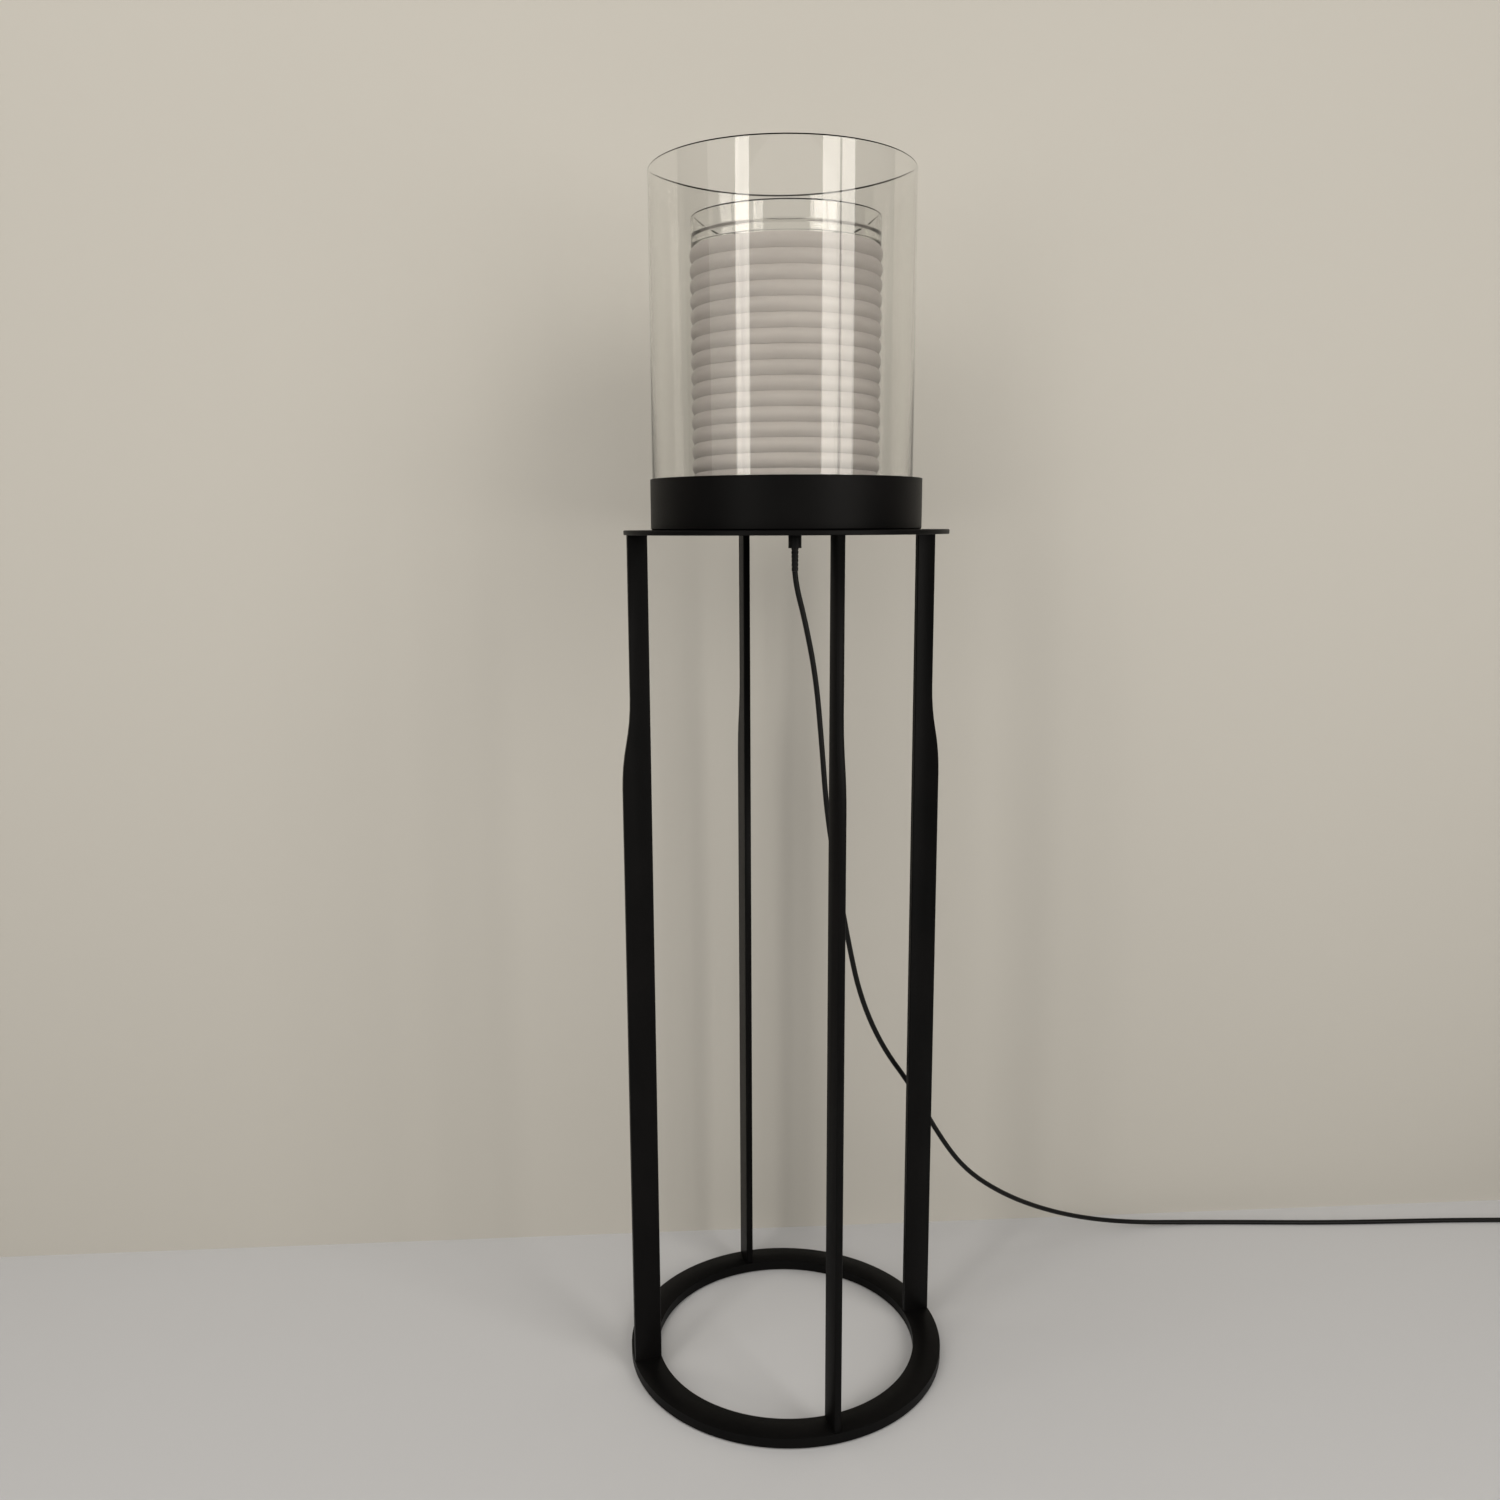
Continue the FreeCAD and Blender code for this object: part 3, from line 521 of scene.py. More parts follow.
# ---------------------------------------------------------------- geometry nodes
class ShapeTree:
    """A Geometry Nodes tree with named inputs, applied to an empty mesh."""

    def __init__(self, name: str, sizes: dict[str, float | int]) -> None:
        """Start a tree.

        Args:
            name: Name of the tree and of the object it makes.
            sizes: Value of each named input; a whole number makes a whole-number input.
        """
        self.name = name
        self.sizes = sizes
        self.tree = bpy.data.node_groups.new(name, "GeometryNodeTree")
        for size, value in sizes.items():
            kind = "NodeSocketInt" if isinstance(value, int) else "NodeSocketFloat"
            self.tree.interface.new_socket(size, in_out="INPUT", socket_type=kind)
        self.tree.interface.new_socket("Shape", in_out="OUTPUT", socket_type="NodeSocketGeometry")
        self.inputs = self.tree.nodes.new("NodeGroupInput").outputs
        self.result = self.tree.nodes.new("NodeGroupOutput")

    def node(self, kind: str, settings: dict | None = None, links: dict | None = None) -> bpy.types.Node:
        """Add a node to the tree, as add_node does."""
        return add_node(self.tree, kind, settings, links)

    def finish(self, shape: bpy.types.NodeSocket, look: Finish | Glass) -> bpy.types.Object:
        """End the tree, run it, and keep its result as a plain mesh.

        Args:
            shape: The geometry that the tree has made.
            look: The finish of the result.

        Returns:
            The object that holds the plain mesh.
        """
        real = self.node("GeometryNodeRealizeInstances", links={"Geometry": shape})
        dressed = self.node("GeometryNodeSetMaterial", {"Material": look.material()},
                            {"Geometry": real.outputs["Geometry"]})
        self.tree.links.new(dressed.outputs["Geometry"], self.result.inputs["Shape"])
        host = object_from(bpy.data.meshes.new(self.name + "_host"), self.name + "_host")
        modifier = host.modifiers.new(self.name, "NODES")
        modifier.node_group = self.tree
        for item in self.tree.interface.items_tree:
            if item.in_out == "INPUT":
                modifier[item.identifier] = self.sizes[item.name]
        evaluated = host.evaluated_get(bpy.context.evaluated_depsgraph_get())
        mesh = bpy.data.meshes.new_from_object(evaluated)
        host.modifiers.remove(modifier)
        bpy.data.objects.remove(host)
        joined = bmesh.new()
        joined.from_mesh(mesh)
        bmesh.ops.remove_doubles(joined, verts=joined.verts, dist=MERGE_DISTANCE)
        bmesh.ops.recalc_face_normals(joined, faces=joined.faces)
        for face in joined.faces:
            face.material_index = 0
        joined.to_mesh(mesh)
        joined.free()
        mesh.materials.clear()
        mesh.materials.append(look.material())
        smooth(mesh)
        return object_from(mesh, self.name)


# ---------------------------------------------------------------- the lamp's sub-assemblies
@dataclass
class SteelFrame:
    """Base ring, four legs, top plate and drum, all powder coated.

    Attributes:
        coated: The nodes that have the coat.
        rim_lift: How much higher the drum's rim stands than in the CAD model.
        ring_lift: How much thicker the base ring is than in the CAD model.
        edge_zone: Height of the zone under a top edge that moves with it.
        bar_scale: Thickness of the legs' bar over that in the CAD model.
        leg_turns: Degrees from the right at which each leg stands.
    """

    coated: tuple[str, ...] = ("base_ring", "leg_right", "leg_back", "leg_left", "leg_front",
                               "top_plate", "drum")
    rim_lift: float = 3 * MM
    ring_lift: float = 3.5 * MM
    edge_zone: float = 3 * MM
    bar_scale: float = 1.32
    leg_turns: dict[str, float] = field(default_factory=lambda: {
        "leg_right": 16, "leg_back": 106, "leg_left": 196, "leg_front": 286})

    @staticmethod
    def raised(edge: float, lift: float, point: Vector) -> Vector:
        """Return where a point of a piece goes: its upper part stands a little higher.

        Args:
            edge: Height from which points are lifted.
            lift: How much they are lifted.
            point: The point to move.

        Returns:
            The point, lifted where it belongs to the upper part.
        """
        return point + Vector((0, 0, lift if point.z > edge else 0))

    def thickened(self, turn: float, point: Vector) -> Vector:
        """Return where a point of a leg goes: the bar is a little thicker.

        Args:
            turn: Degrees from the right, counter-clockwise, at which the leg stands.
            point: The point to move.

        Returns:
            The point, moved across the bar.
        """
        across = Vector((-math.sin(math.radians(turn)), math.cos(math.radians(turn)), 0))
        return point + across * point.dot(across) * (self.bar_scale - 1)

    def build(self, nodes: dict[str, bpy.types.Object]) -> None:
        """Dress the frame's nodes, and reshape those that are thicker or taller than in the CAD model.

        Args:
            nodes: The CAD nodes by name.
        """
        for name in self.coated:
            finished(nodes[name], POWDER_COAT)
            LOG.info("dressed %s", name)
        for name, lift in (("drum", self.rim_lift), ("base_ring", self.ring_lift)):
            edge = corners_of(name)[1].z - self.edge_zone
            reshape(nodes[name], "frame", functools.partial(self.raised, edge, lift))
        for name, turn in self.leg_turns.items():
            reshape(nodes[name], "frame", functools.partial(self.thickened, turn))
        for name, look in {"base_pad": FOAM, "seat_mat": FOAM, "locating_band": POWDER_COAT,
                           "drum_screws": BLACK_ZINC, "drum_nuts": ZINC}.items():
            finished(nodes[name], look)
            LOG.info("dressed %s", name)


@dataclass
class GlassCylinder:
    """One open glass cylinder with a fire-polished rim, and a wider collar if it has one.

    Attributes:
        node: The CAD node that it stands for.
        body: The body that it moves with.
        wall: Thickness of the wall.
        rim_round: Radius of the rim's corners.
        foot_round: Radius of the foot's corners.
        shank_radius: Outside of the part under the collar, or 0 where the glass has no collar.
        collar_radius: Outside of the collar.
        collar_height: Height of the collar down to its shoulder.
        shoulder_round: Radius of the shoulder's edge.
        step_top: Height over the shoulder at which the bore starts to narrow.
        step_foot: Height over the shoulder at which it has narrowed.
        arc_steps: Faces along each rounded corner.
        segments: Faces round the axis.
    """

    node: str
    body: str
    wall: float = 3 * MM
    rim_round: float = 1.35 * MM
    foot_round: float = 0.6 * MM
    shank_radius: float = 0.0
    collar_radius: float = 0.0
    collar_height: float = 23 * MM
    shoulder_round: float = 0.8 * MM
    step_top: float = 9 * MM
    step_foot: float = 6 * MM
    arc_steps: int = 8
    segments: int = 192

    def build(self) -> None:
        """Build the glass, in place of its CAD node."""
        low, high = corners_of(self.node)
        radius = (high.x - low.x) / 2
        centre = ((low.x + high.x) / 2, (low.y + high.y) / 2)
        bore = radius - self.wall
        if self.collar_radius:
            shoulder = high.z - self.collar_height
            radius = self.collar_radius
            outline = rounded([
                (self.shank_radius, low.z), (self.shank_radius, shoulder), (radius, shoulder),
                (radius, high.z), (radius - self.wall, high.z),
                (radius - self.wall, shoulder + self.step_top), (bore, shoulder + self.step_foot),
                (bore, low.z)],
                {0: self.foot_round, 2: self.shoulder_round, 3: self.rim_round, 4: self.rim_round,
                 5: self.wall, 6: self.wall, 7: self.foot_round}, self.arc_steps)
        else:
            outline = rounded(
                [(radius, low.z), (radius, high.z), (bore, high.z), (bore, low.z)],
                {0: self.foot_round, 1: self.rim_round, 2: self.rim_round, 3: self.foot_round},
                self.arc_steps)
        glass = finished(lathe(self.node + "_look", outline, self.segments, centre), CLEAR_GLASS)
        # Painted shade: the faces of the rim's outer corner take the darker rim glass, for the dark line
        # that the rim shows when seen along the wall.
        glass.data.materials.append(PAINTED_SHADE_RIM_GLASS.material())
        for face in glass.data.polygons:
            reach = math.hypot(face.center.x - centre[0], face.center.y - centre[1])
            if face.center.z > high.z - 2 * self.rim_round and reach > radius - self.rim_round:
                face.material_index = 1
        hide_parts(self.node)
        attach(glass, self.body)
        LOG.info("built %s", glass.name)


# Arithmetic of the sleeve's surface, one node for each row: the step's name, what it does, and what
# it takes, which is a number, an input of the tree or an earlier step. The sheet has a column of
# points for each face round the axis, and one more that closes the round. In each column the rows
# climb over the ribs outside, and the last three cross the top, go down the bore and close the foot.
SLEEVE_STEPS: tuple[tuple[str | float, ...], ...] = (
    ("rows", "MULTIPLY", "Rib Count", "Rows Per Rib"),
    ("points up", "ADD", "rows", 4.0),
    ("points round", "ADD", "Segments", 1.0),
    ("middle", "ADD", "index", 0.5),
    ("columns passed", "DIVIDE", "middle", "points up"),
    ("column", "FLOOR", "columns passed"),
    ("points passed", "MULTIPLY", "column", "points up"),
    ("row", "SUBTRACT", "index", "points passed"),
    ("arc", "MULTIPLY", "column", math.tau),
    ("angle", "DIVIDE", "arc", "Segments"),
    ("ribs climbed", "DIVIDE", "row", "Rows Per Rib"),
    ("along", "FRACT", "ribs climbed"),
    ("doubled", "MULTIPLY", "along", 2.0),
    ("swing", "SUBTRACT", "doubled", 1.0),
    ("swing squared", "MULTIPLY", "swing", "swing"),
    ("bulge", "SUBTRACT", 1.0, "swing squared"),
    ("bulge height", "MULTIPLY", "bulge", "Rib Height"),
    ("wave radius", "ADD", "Groove Radius", "bulge height"),
    ("row rise", "DIVIDE", "Rib Pitch", "Rows Per Rib"),
    ("top", "MULTIPLY", "Rib Pitch", "Rib Count"),
    ("last outside", "ADD", "rows", 0.5),
    ("past outside", "GREATER_THAN", "row", "last outside"),
    ("last at top", "ADD", "rows", 1.5),
    ("past top", "GREATER_THAN", "row", "last at top"),
    ("last in bore", "ADD", "rows", 2.5),
    ("closing", "GREATER_THAN", "row", "last in bore"),
    ("in bore", "SUBTRACT", "past outside", "closing"),
    ("is outside", "SUBTRACT", 1.0, "past outside"),
    ("outside radius", "MULTIPLY", "wave radius", "is outside"),
    ("inside radius", "MULTIPLY", "Bore Radius", "in bore"),
    ("closing radius", "MULTIPLY", "Groove Radius", "closing"),
    ("open radius", "ADD", "outside radius", "inside radius"),
    ("radius", "ADD", "open radius", "closing radius"),
    ("climb", "MULTIPLY", "row", "row rise"),
    ("rise", "MINIMUM", "climb", "top"),
    ("is up", "SUBTRACT", 1.0, "past top"),
    ("lift", "MULTIPLY", "rise", "is up"),
    ("height", "ADD", "Foot Height", "lift"),
    ("cosine", "COSINE", "angle"),
    ("sine", "SINE", "angle"),
    ("x", "MULTIPLY", "radius", "cosine"),
    ("y", "MULTIPLY", "radius", "sine"))


@dataclass
class RibbedSleeve:
    """Grey sleeve round the inner glass, a stack of rounded ribs.

    Attributes:
        bore_radius: Inside of the sleeve.
        groove_radius: Bottom of the grooves between ribs.
        rib_height: Height of a rib over the grooves.
        rib_pitch: Height of one rib along the axis.
        rib_count: Number of ribs.
        rows_per_rib: Faces along the height of one rib.
        segments: Faces round the axis.
    """

    bore_radius: float = 78.4 * MM
    groove_radius: float = 78.9 * MM
    rib_height: float = 2.5 * MM
    rib_pitch: float = 12 * MM
    rib_count: int = 19
    rows_per_rib: int = 8
    segments: int = 144

    def build(self) -> None:
        """Build the sleeve, in place of its CAD node."""
        low = corners_of("ribbed_sleeve")[0]
        tree = ShapeTree("ribbed_sleeve_look", {
            "Bore Radius": self.bore_radius, "Groove Radius": self.groove_radius,
            "Rib Height": self.rib_height, "Rib Pitch": self.rib_pitch, "Foot Height": low.z,
            "Rib Count": self.rib_count, "Rows Per Rib": self.rows_per_rib, "Segments": self.segments})
        values = {size: tree.inputs[size] for size in tree.sizes}
        values["index"] = tree.node("GeometryNodeInputIndex").outputs["Index"]
        for name, operation, *terms in SLEEVE_STEPS:
            given = {i: values.get(term, term) for i, term in enumerate(terms)}
            numbers = {i: term for i, term in given.items() if isinstance(term, float)}
            links = {i: term for i, term in given.items() if i not in numbers}
            values[name] = tree.node("ShaderNodeMath", {"operation": operation} | numbers, links).outputs[0]
        sheet = tree.node("GeometryNodeMeshGrid", {"Size X": 1.0, "Size Y": 1.0}, {
            "Vertices X": values["points round"], "Vertices Y": values["points up"]})
        place = tree.node("ShaderNodeCombineXYZ", links={
            "X": values["x"], "Y": values["y"], "Z": values["height"]})
        moved = tree.node("GeometryNodeSetPosition", links={
            "Geometry": sheet.outputs["Mesh"], "Position": place.outputs["Vector"]})
        sleeve = tree.finish(moved.outputs["Geometry"], GREY_ACRYLIC)
        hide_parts("ribbed_sleeve")
        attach(sleeve, "inner_shade")
        LOG.info("built %s", sleeve.name)


@dataclass
class LampHolder:
    """Holder, its bracket and what fixes them, inside the inner glass.

    Attributes:
        looks: The finish of each node.
    """

    looks: dict[str, Finish] = field(default_factory=lambda: {
        "holder_bracket": ZINC, "nipple": ZINC, "nipple_washer": ZINC, "nipple_nut": ZINC,
        "holder_base": PHENOLIC, "holder_body": PHENOLIC, "holder_insert": STEATITE,
        "screw_shell": NICKEL, "centre_contact": BRASS, "core_live": CORE_BROWN,
        "core_neutral": CORE_BLUE})

    def build(self, nodes: dict[str, bpy.types.Object]) -> None:
        """Dress the holder's nodes.

        Args:
            nodes: The CAD nodes by name.
        """
        for name, look in self.looks.items():
            finished(nodes[name], look)
            LOG.info("dressed %s", name)


@dataclass
class Bulb:
    """Screw-in bulb with an opal globe, a plastic skirt and a threaded cap.

    Attributes:
        radius: Radius of the globe.
        cap_radius: Radius over the cap's thread.
        thread_depth: Depth of the rolled thread.
        thread_pitch: Height of one turn of the thread.
        thread_sharp: Degrees from which an edge of the thread stays sharp.
        skirt_lip: How far the skirt's foot stands out past the cap.
        skirt_flare: Share of the skirt's spread that comes late, near the globe.
        globe_rows: Faces from the globe's foot to its crown.
        skirt_rows: Faces along the skirt.
        cap_rows: Faces along the cap.
        fade_foot: Rows over which the thread grows from the cap's foot.
        fade_head: Rows over which it dies out at the cap's head.
        segments: Faces round the axis.
    """

    radius: float = 30 * MM
    cap_radius: float = 13.2 * MM
    thread_depth: float = 0.9 * MM
    thread_pitch: float = 3.62 * MM
    thread_sharp: float = 50.0
    skirt_lip: float = 1 * MM
    skirt_flare: float = 0.4
    globe_rows: int = 22
    skirt_rows: int = 12
    cap_rows: int = 72
    fade_foot: int = 6
    fade_head: int = 10
    segments: int = 64

    def envelope(self) -> bpy.types.Object:
        """Make the globe, smooth from its cut foot to its crown.

        Returns:
            The globe.
        """
        low, high = corners_of("bulb_globe")
        centre = high.z - self.radius
        start = math.asin((low.z - centre) / self.radius)
        outline: Outline = [(0, low.z)]
        for step in range(self.globe_rows):
            angle = start + (math.pi / 2 - start) * step / self.globe_rows
            outline.append((self.radius * math.cos(angle), centre + self.radius * math.sin(angle)))
        outline.append((0, high.z))
        globe = finished(lathe("bulb_globe_look", outline, self.segments, closed=False), OPAL)
        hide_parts("bulb_globe")
        return globe

    def skirt(self) -> bpy.types.Object:
        """Make the skirt, hollowed a little between the cap and the globe.

        Returns:
            The skirt.
        """
        low, high = corners_of("bulb_skirt")
        foot = self.cap_radius + self.skirt_lip
        outline: Outline = [(0, low.z)]
        for step in range(self.skirt_rows + 1):
            share = step / self.skirt_rows
            spread = (1 - self.skirt_flare) * share + self.skirt_flare * share ** 2
            outline.append((foot + (high.x - foot) * spread, low.z + (high.z - low.z) * share))
        outline.append((0, high.z))
        skirt = finished(lathe("bulb_skirt_look", outline, self.segments, closed=False), BULB_PLASTIC)
        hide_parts("bulb_skirt")
        return skirt

    def cap(self) -> bpy.types.Object:
        """Make the cap, with a rolled thread that climbs round it.

        Returns:
            The cap.
        """
        low, high = corners_of("bulb_cap")
        rings = []
        for row in range(self.cap_rows + 1):
            rise = (high.z - low.z) * row / self.cap_rows
            fade = min(1.0, row / self.fade_foot, (self.cap_rows - row) / self.fade_head)
            ring = []
            for turn in (i / self.segments for i in range(self.segments)):
                phase = (rise / self.thread_pitch - turn) * math.tau
                radius = self.cap_radius - self.thread_depth * fade * (0.5 - 0.5 * math.cos(phase))
                ring.append(Vector((radius * math.cos(math.tau * turn),
                                    radius * math.sin(math.tau * turn), low.z + rise)))
            rings.append(ring)
        cap = finished(skinned("bulb_cap_look", rings, self.thread_sharp), NICKEL)
        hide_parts("bulb_cap")
        return cap

    def build(self, nodes: dict[str, bpy.types.Object]) -> None:
        """Build the bulb and set it on its body.

        Args:
            nodes: The CAD nodes by name.
        """
        for piece in (self.envelope(), self.skirt(), self.cap()):
            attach(piece, "bulb")
            LOG.info("built %s", piece.name)
        finished(nodes["bulb_tip"], BRASS)


@dataclass
class StrainRelief:
    """Grooved, tapered sleeve that guards the cord where it leaves the gland.

    Attributes:
        top_radius: Outside, at the gland.
        tip_radius: Outside, at the lower end.
        bore_radius: Inside.
        groove_count: Number of grooves.
        groove_depth: Depth of a groove.
        groove_offset: How far down the first groove is, in parts of the space from groove to groove.
        groove_heights: Upper edge, upper and lower end of the bottom, and lower edge, round a
            groove's middle.
        segments: Faces round the axis.
    """

    top_radius: float = 3.2 * MM
    tip_radius: float = 2.9 * MM
    bore_radius: float = 2.45 * MM
    groove_count: int = 5
    groove_depth: float = 0.35 * MM
    groove_offset: float = 0.6
    groove_heights: tuple[float, ...] = (0.75 * MM, 0.55 * MM, -0.25 * MM, -0.45 * MM)
    segments: int = 32

    def build(self) -> bpy.types.Object:
        """Build the sleeve, in place of its CAD node.

        Returns:
            The sleeve.
        """
        low, high = corners_of("strain_relief")
        outline: Outline = [(self.bore_radius, high.z), (self.top_radius, high.z)]
        for groove in range(self.groove_count):
            share = (groove + self.groove_offset) / (self.groove_count + self.groove_offset)
            middle = high.z - (high.z - low.z) * share
            rim = self.top_radius + (self.tip_radius - self.top_radius) * share
            bottom = rim - self.groove_depth
            outline += [(radius, middle + height) for radius, height in
                        zip((rim, bottom, bottom, rim), self.groove_heights)]
        outline += [(self.tip_radius, low.z), (self.bore_radius, low.z)]
        relief = lathe("strain_relief_look", outline, self.segments,
                       ((low.x + high.x) / 2, (low.y + high.y) / 2))
        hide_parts("strain_relief")
        return finished(relief, PVC_SHEATH)


@dataclass
class Plug:
    """Body of the flat two-pin plug, waisted behind its face.

    Attributes:
        rear_half: Half the width and half the height at the cord's end.
        ease: Power of the curve from the rear to the face; over 1 keeps the rear slim for longer.
        end_round: How far the edges of both ends are drawn in.
        squareness: Power that makes the section's corners; 1 is an oval, less is squarer.
        rows: Faces along the plug.
        segments: Faces round it.
    """

    rear_half: tuple[float, float] = (8 * MM, 5.5 * MM)
    ease: float = 1.6
    end_round: float = 0.9 * MM
    squareness: float = 0.45
    rows: int = 16
    segments: int = 40

    def section(self, centre: Vector, half_x: float, half_z: float) -> list[Vector]:
        """Return one section across the plug.

        Args:
            centre: Middle of the section.
            half_x: Half its width.
            half_z: Half its height.

        Returns:
            The section's points, in order.
        """
        points = []
        for i in range(self.segments):
            angle = math.tau * i / self.segments
            cosine, sine = math.cos(angle), math.sin(angle)
            across = half_x * math.copysign(abs(cosine) ** self.squareness, cosine)
            up = half_z * math.copysign(abs(sine) ** self.squareness, sine)
            points.append(centre + Vector((across, 0, up)))
        return points

    def build(self) -> bpy.types.Object:
        """Build the plug's body, in place of its CAD node.

        Returns:
            The body.
        """
        low, high = corners_of("plug_body")
        front_half = ((high.x - low.x) / 2, (high.z - low.z) / 2)
        sections = []
        for row in range(self.rows + 1):
            share = row / self.rows
            pull = self.end_round if row in (0, self.rows) else 0.0
            half_x, half_z = (rear + (front - rear) * share ** self.ease - pull
                              for rear, front in zip(self.rear_half, front_half))
            centre = Vector(((low.x + high.x) / 2, high.y + (low.y - high.y) * share, (low.z + high.z) / 2))
            sections.append(self.section(centre, half_x, half_z))
        body = skinned("plug_body_look", sections)
        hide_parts("plug_body")
        return finished(body, PVC_SHEATH)


@dataclass
class MainsCord:
    """Cord from the gland under the plate to the coil of spare cord and its plug.

    Attributes:
        diameter: Across the round sheath.
        length: Real length of the free cord, coil included; not used.
        gland_radius: Radius of the gland's block under the plate.
        gland_seam: How far over the plate's underside points still belong to that block.
        route: Control points of the free stretch, in millimetres.
        coil_lead: From the route's last point to the coil's first, in millimetres.
        coil_radius: Outermost turn's radius, in millimetres.
        coil_pitch: From turn to turn in a layer, in millimetres.
        coil_rise: From layer to layer, in millimetres.
        turns_in: Turns that wind inwards on the floor.
        turns_climb: Turns that climb to the second layer.
        turns_out: Turns that wind outwards again.
        exit_run: From the end of the coil to the plug's sleeve, in millimetres.
        plug_height: Height of the plug's middle over the floor, in millimetres.
        points_per_turn: Control points for each turn.
        spread_power: How far the control points stand outside the turn that they pull the cord to.
        round_steps: How finely the sheath is rounded.
        span_steps: Faces along the cord from one control point to the next.
        curve_order: Order of the curve.
    """

    diameter: float = 5 * MM
    length: float = 1.98
    gland_radius: float = 5.8 * MM
    gland_seam: float = 0.1 * MM
    route: tuple[Point, ...] = (
        (8, 0, 750.5), (9, 1, 738), (17, 5, 708), (27.5, 10.5, 656), (33.5, 14.5, 592), (38.5, 17, 528),
        (49, 22, 464), (60, 29, 402), (73, 36, 342), (96, 49, 286), (129, 67, 235), (157, 83, 179),
        (189, 100, 129), (234, 124, 88), (286, 153, 53), (342, 184, 24), (402, 206, 6),
        (470, 212, 2.5), (540, 211, 2.5), (612, 209.5, 2.5), (684, 210.5, 2.5), (754, 212.5, 2.5),
        (812, 213, 2.5), (864, 212, 2.5))
    coil_lead: float = 12.0
    coil_radius: float = 32.0
    coil_pitch: float = 5.8
    coil_rise: float = 5.7
    turns_in: float = 1.5
    turns_climb: float = 0.5
    turns_out: float = 1.25
    exit_run: float = 22.0
    plug_height: float = 7.0
    points_per_turn: int = 16
    spread_power: float = 0.75
    round_steps: int = 5
    span_steps: int = 6
    curve_order: int = 3

    def coil_point(self, turn: float) -> Vector:
        """Return a point of the coil: spiral in, climb a layer, spiral out, clockwise from above.

        Args:
            turn: Turns from the coil's start.

        Returns:
            The point, in millimetres.
        """
        inner = self.coil_radius - self.coil_pitch * self.turns_in
        climbed = turn - self.turns_in
        if climbed <= 0:
            radius, lift = self.coil_radius - self.coil_pitch * turn, 0.0
        elif climbed <= self.turns_climb:
            reversing = self.turns_climb / 2 - abs(climbed - self.turns_climb / 2)
            radius = inner - self.coil_pitch * reversing
            lift = self.coil_rise * (1 - math.cos(math.pi * climbed / self.turns_climb)) / 2
        else:
            radius, lift = inner + self.coil_pitch * (climbed - self.turns_climb), self.coil_rise
        start = Vector(self.route[-1]) + Vector((self.coil_lead, 0, 0))
        centre = start - Vector((0, self.coil_radius, 0))
        angle = math.pi / 2 - math.tau * turn
        spread = radius / math.cos(math.pi / self.points_per_turn) ** self.spread_power
        return centre + Vector((spread * math.cos(angle), spread * math.sin(angle), lift))

    def points(self) -> list[Vector]:
        """List every control point of the cord.

        Returns:
            The points, in metres.
        """
        turns = self.turns_in + self.turns_climb + self.turns_out
        count = round(turns * self.points_per_turn)
        line = [Vector(point) for point in self.route]
        line += [self.coil_point(turns * index / count) for index in range(count + 1)]
        last = line[-1]
        line.append(Vector((last.x, last.y - self.exit_run / 2, last.z)))
        line.append(Vector((last.x, last.y - self.exit_run, self.plug_height)))
        line.append(Vector((last.x, last.y - self.exit_run - self.diameter / MM, self.plug_height)))
        return [point * MM for point in line]

    def cord(self) -> bpy.types.Object:
        """Make the cord as one open NURBS curve.

        Returns:
            The cord, with its sheath's finish.
        """
        points = self.points()
        curve = bpy.data.curves.new("mains_cord", "CURVE")
        curve.dimensions = "3D"
        curve.bevel_depth = self.diameter / 2
        curve.bevel_resolution = self.round_steps
        curve.resolution_u = self.span_steps
        curve.use_fill_caps = True
        spline = curve.splines.new("NURBS")
        spline.points.add(len(points) - 1)
        for target, point in zip(spline.points, points):
            target.co = (*point, 1.0)
        spline.order_u = self.curve_order
        spline.use_endpoint_u = True
        cord = bpy.data.objects.new("mains_cord", curve)
        bpy.context.scene.collection.objects.link(cord)
        return finished(cord, PVC_SHEATH)

    def widened(self, low: Vector, high: Vector, plate: float, point: Vector) -> Vector:
        """Return where a point of the gland goes: its block under the plate is wider.

        Args:
            low: Low corner of the gland's box.
            high: High corner of it.
            plate: Height of the plate's underside.
            point: The point to move.

        Returns:
            The point, moved away from the gland's axis where it is under the plate.
        """
        out = point - (low + high) / 2
        scale = 2 * self.gland_radius / (high.x - low.x) - 1 if point.z < plate + self.gland_seam else 0.0
        return point + Vector((out.x, out.y, 0)) * scale

    def build(self, nodes: dict[str, bpy.types.Object]) -> None:
        """Args:
            nodes: The CAD nodes by name.
        """
        cord = self.cord()
        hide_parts("power_cord", "cord_coil")
        relief = StrainRelief().build()
        plug = Plug().build()
        for piece in (cord, relief, plug):
            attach(piece, "frame")
            LOG.info("built %s", piece.name)
        for name, look in {"gland_body": NYLON, "gland_nut": NYLON, "cord_tail": PVC_SHEATH,
                           "plug_relief": PVC_SHEATH, "plug_pins": NICKEL}.items():
            finished(nodes[name], look)
            LOG.info("dressed %s", name)
        low, high = corners_of("gland_body")
        plate = corners_of("top_plate")[0].z
        reshape(nodes["gland_body"], "frame", functools.partial(self.widened, low, high, plate))


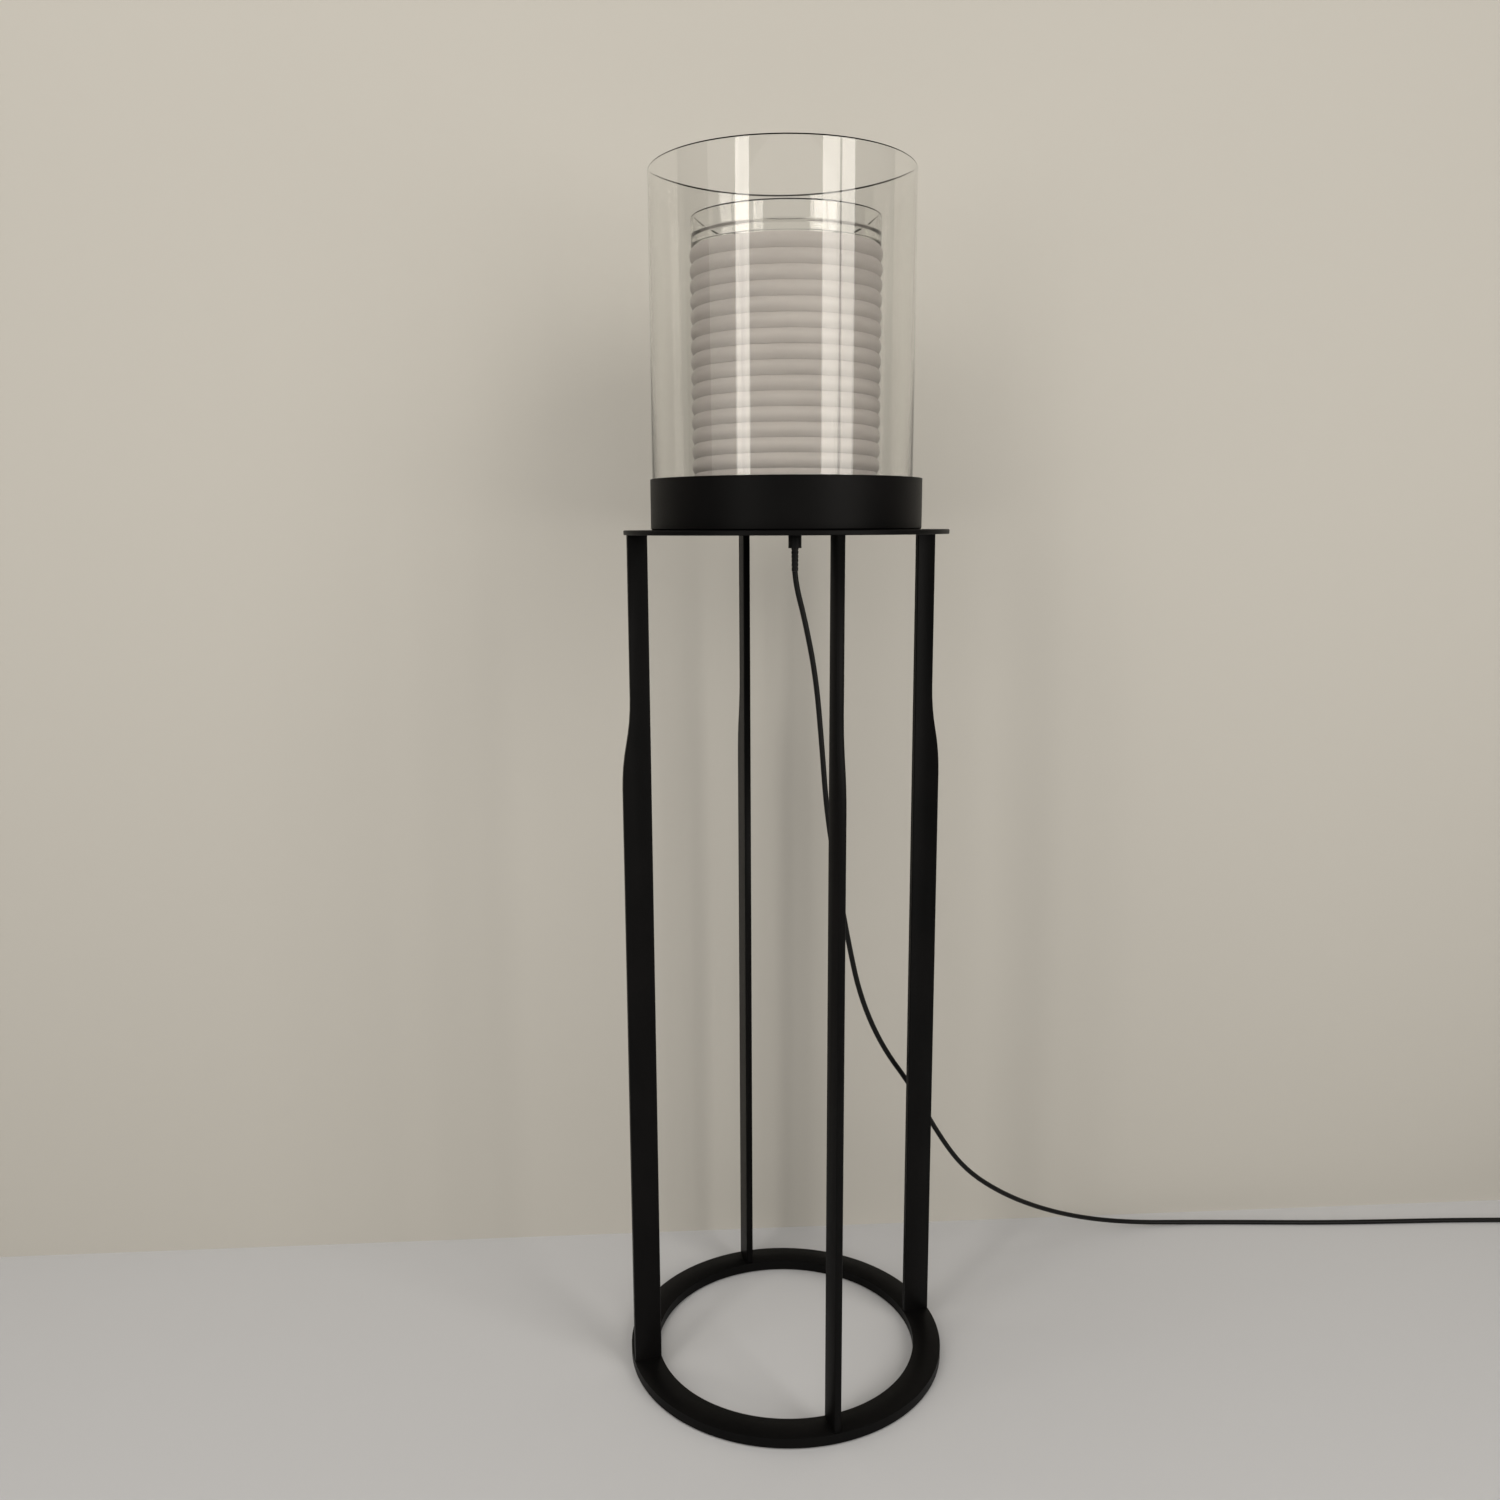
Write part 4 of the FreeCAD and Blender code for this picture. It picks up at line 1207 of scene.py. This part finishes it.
# ---------------------------------------------------------------- studio
@dataclass(frozen=True)
class Softbox:
    """One soft rectangular lamp of the studio, which faces the glass.

    Attributes:
        name: Name of the lamp.
        azimuth: Degrees from the front towards the right.
        distance: From the axis of the glass.
        height: Of its middle.
        size: Width and height.
        power: In watts.
        tilt: Degrees that it looks down.
        mirrored: Whether shiny surfaces show it.
    """

    name: str
    azimuth: float
    distance: float
    height: float
    size: tuple[float, float]
    power: float
    tilt: float = 0.0
    mirrored: bool = True

    def build(self, colour: str) -> None:
        """Add the lamp.

        Args:
            colour: Its colour, as sRGB hex.
        """
        light = bpy.data.lights.new(self.name, "AREA")
        light.shape = "RECTANGLE"
        light.size, light.size_y = self.size
        light.energy = self.power
        light.color = linear(colour)[:3]
        lamp = bpy.data.objects.new(self.name, light)
        turn = math.radians(self.azimuth)
        lamp.location = (self.distance * math.sin(turn), -self.distance * math.cos(turn), self.height)
        lamp.rotation_euler = (math.pi / 2 - math.radians(self.tilt), 0, turn)
        lamp.visible_glossy = self.mirrored
        bpy.context.scene.collection.objects.link(lamp)


@dataclass
class Studio:
    """Plain floor and backdrop, soft lamps and the camera.

    Attributes:
        wall_distance: From the lamp's axis back to the wall.
        wall_turn: How much farther the wall stands at its right end than in the middle.
        wall_reach: From the middle of the wall to its ends.
        wall_top: Height of the wall.
        wall_foot: Height of its foot, which is a little under the floor.
        floor_reach: From the lamp's axis to the floor's sides, and to its front and back.
        floor_colour: Colour of the floor, as sRGB hex.
        wall_colour: Colour of the wall, as sRGB hex.
        roughness: Roughness of both.
        specular: Strength of shine of both.
        light_colour: Colour of all lamps, as sRGB hex.
        room_colour: Colour of the even light of the room, as sRGB hex.
        room_light: Strength of that light.
        softboxes: The lamps.
        camera_place: Where the camera stands.
        camera_pitch: Radians that it looks down.
        camera_roll: Radians that it is rolled.
        camera_yaw: Radians that it is turned to the left.
        camera_clip: Nearest distance that it shows.
        focal_pixels: Its focal length in pixels of the photograph.
    """

    wall_distance: float = 0.21
    wall_turn: float = 0.078
    wall_reach: float = 1.3
    wall_top: float = 1.5
    wall_foot: float = -0.01
    floor_reach: tuple[float, float] = (4.0, 3.0)
    floor_colour: str = "#d2d3d6"
    wall_colour: str = "#c3c0b9"
    roughness: float = 0.85
    specular: float = 0.2
    light_colour: str = "#fffaf2"
    room_colour: str = "#e9e6e1"
    room_light: float = 0.1
    softboxes: tuple[Softbox, ...] = (
        Softbox("window_left_pane", 38.2, 1.81, 1.15, (0.468, 1.7), 9.5),
        Softbox("window_right_pane", 53.2, 1.81, 1.15, (0.378, 1.7), 7.7),
        Softbox("narrow_window", -34, 1.9, 1.15, (0.38, 1.7), 8.5),
        Softbox("far_room", 5, 2.4, 1.15, (3.7, 1.7), 11),
        Softbox("side_fill", -50, 2.0, 0.9, (1.0, 1.4), 6, mirrored=False),
        Softbox("ceiling", -25, 1.0, 2.5, (1.8, 1.8), 18, tilt=70, mirrored=False))
    camera_place: Point = (-0.0356, -1.1469, 0.7904)
    camera_pitch: float = 0.1726
    camera_roll: float = -0.0043
    camera_yaw: float = -0.0029
    camera_clip: float = 0.05
    focal_pixels: float = 1288.79

    def surface(self, name: str, corners: list[Point], colour: str) -> None:
        """Add one flat stage surface, which is clear from behind.

        Args:
            name: Name of the surface.
            corners: Its corners in order.
            colour: Its colour, as sRGB hex.
        """
        mesh = bpy.data.meshes.new(name)
        mesh.from_pydata(corners, [], [tuple(range(len(corners)))])
        stage = object_from(mesh, name)
        look = bpy.data.materials.new(name)
        look.use_nodes = True
        tree = look.node_tree
        shader = tree.nodes["Principled BSDF"]
        for socket, value in {"Base Color": linear(colour), "Roughness": self.roughness,
                              "Specular IOR Level": self.specular}.items():
            shader.inputs[socket].default_value = value
        side = add_node(tree, "ShaderNodeNewGeometry").outputs["Backfacing"]
        clear = add_node(tree, "ShaderNodeBsdfTransparent").outputs["BSDF"]
        mix = add_node(tree, "ShaderNodeMixShader", links={0: side, 1: shader.outputs["BSDF"], 2: clear})
        tree.links.new(mix.outputs["Shader"], tree.nodes["Material Output"].inputs["Surface"])
        mesh.materials.append(look)

    def lights(self) -> None:
        """Add the lamps and the even light of the room."""
        for softbox in self.softboxes:
            softbox.build(self.light_colour)
        world = bpy.data.worlds.new("room")
        world.use_nodes = True
        ground = world.node_tree.nodes["Background"]
        ground.inputs["Color"].default_value = linear(self.room_colour)
        ground.inputs["Strength"].default_value = self.room_light
        bpy.context.scene.world = world

    def camera(self) -> None:
        """Add the camera at the photograph's viewpoint."""
        data = bpy.data.cameras.new("photo_camera")
        data.sensor_width = SENSOR_WIDTH
        data.lens = SENSOR_WIDTH * self.focal_pixels / PHOTO_PIXELS
        data.clip_start = self.camera_clip
        eye = bpy.data.objects.new("photo_camera", data)
        eye.location = self.camera_place
        turned = Euler((math.pi / 2 - self.camera_pitch, 0, self.camera_yaw)).to_matrix()
        eye.rotation_euler = (turned @ Matrix.Rotation(self.camera_roll, 3, "Z")).to_euler()
        bpy.context.scene.collection.objects.link(eye)
        bpy.context.scene.camera = eye

    def build(self) -> None:
        """Build the stage, the lamps and the camera."""
        side, depth = self.floor_reach
        self.surface("floor", [(-side, -depth, 0), (side, -depth, 0), (side, depth, 0), (-side, depth, 0)],
                     self.floor_colour)
        left = (-self.wall_reach, self.wall_distance - self.wall_turn)
        right = (self.wall_reach, self.wall_distance + self.wall_turn)
        self.surface("wall", [(*left, self.wall_foot), (*right, self.wall_foot),
                              (*right, self.wall_top), (*left, self.wall_top)], self.wall_colour)
        self.lights()
        self.camera()
        bpy.context.scene.view_settings.view_transform = "Standard"


def main() -> None:
    """Build every sub-assembly in order."""
    logging.basicConfig(level=logging.INFO, format="%(name)s: %(message)s")
    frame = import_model()
    nodes = frame["nodes"]
    Studio().build()
    MainsCord().build(nodes)
    SteelFrame().build(nodes)
    GlassCylinder("outer_glass", "outer_glass").build()
    GlassCylinder("inner_glass", "inner_shade", shank_radius=78.2 * MM, collar_radius=80 * MM).build()
    RibbedSleeve().build()
    LampHolder().build(nodes)
    Bulb().build(nodes)


if __name__ == "__main__":
    main()
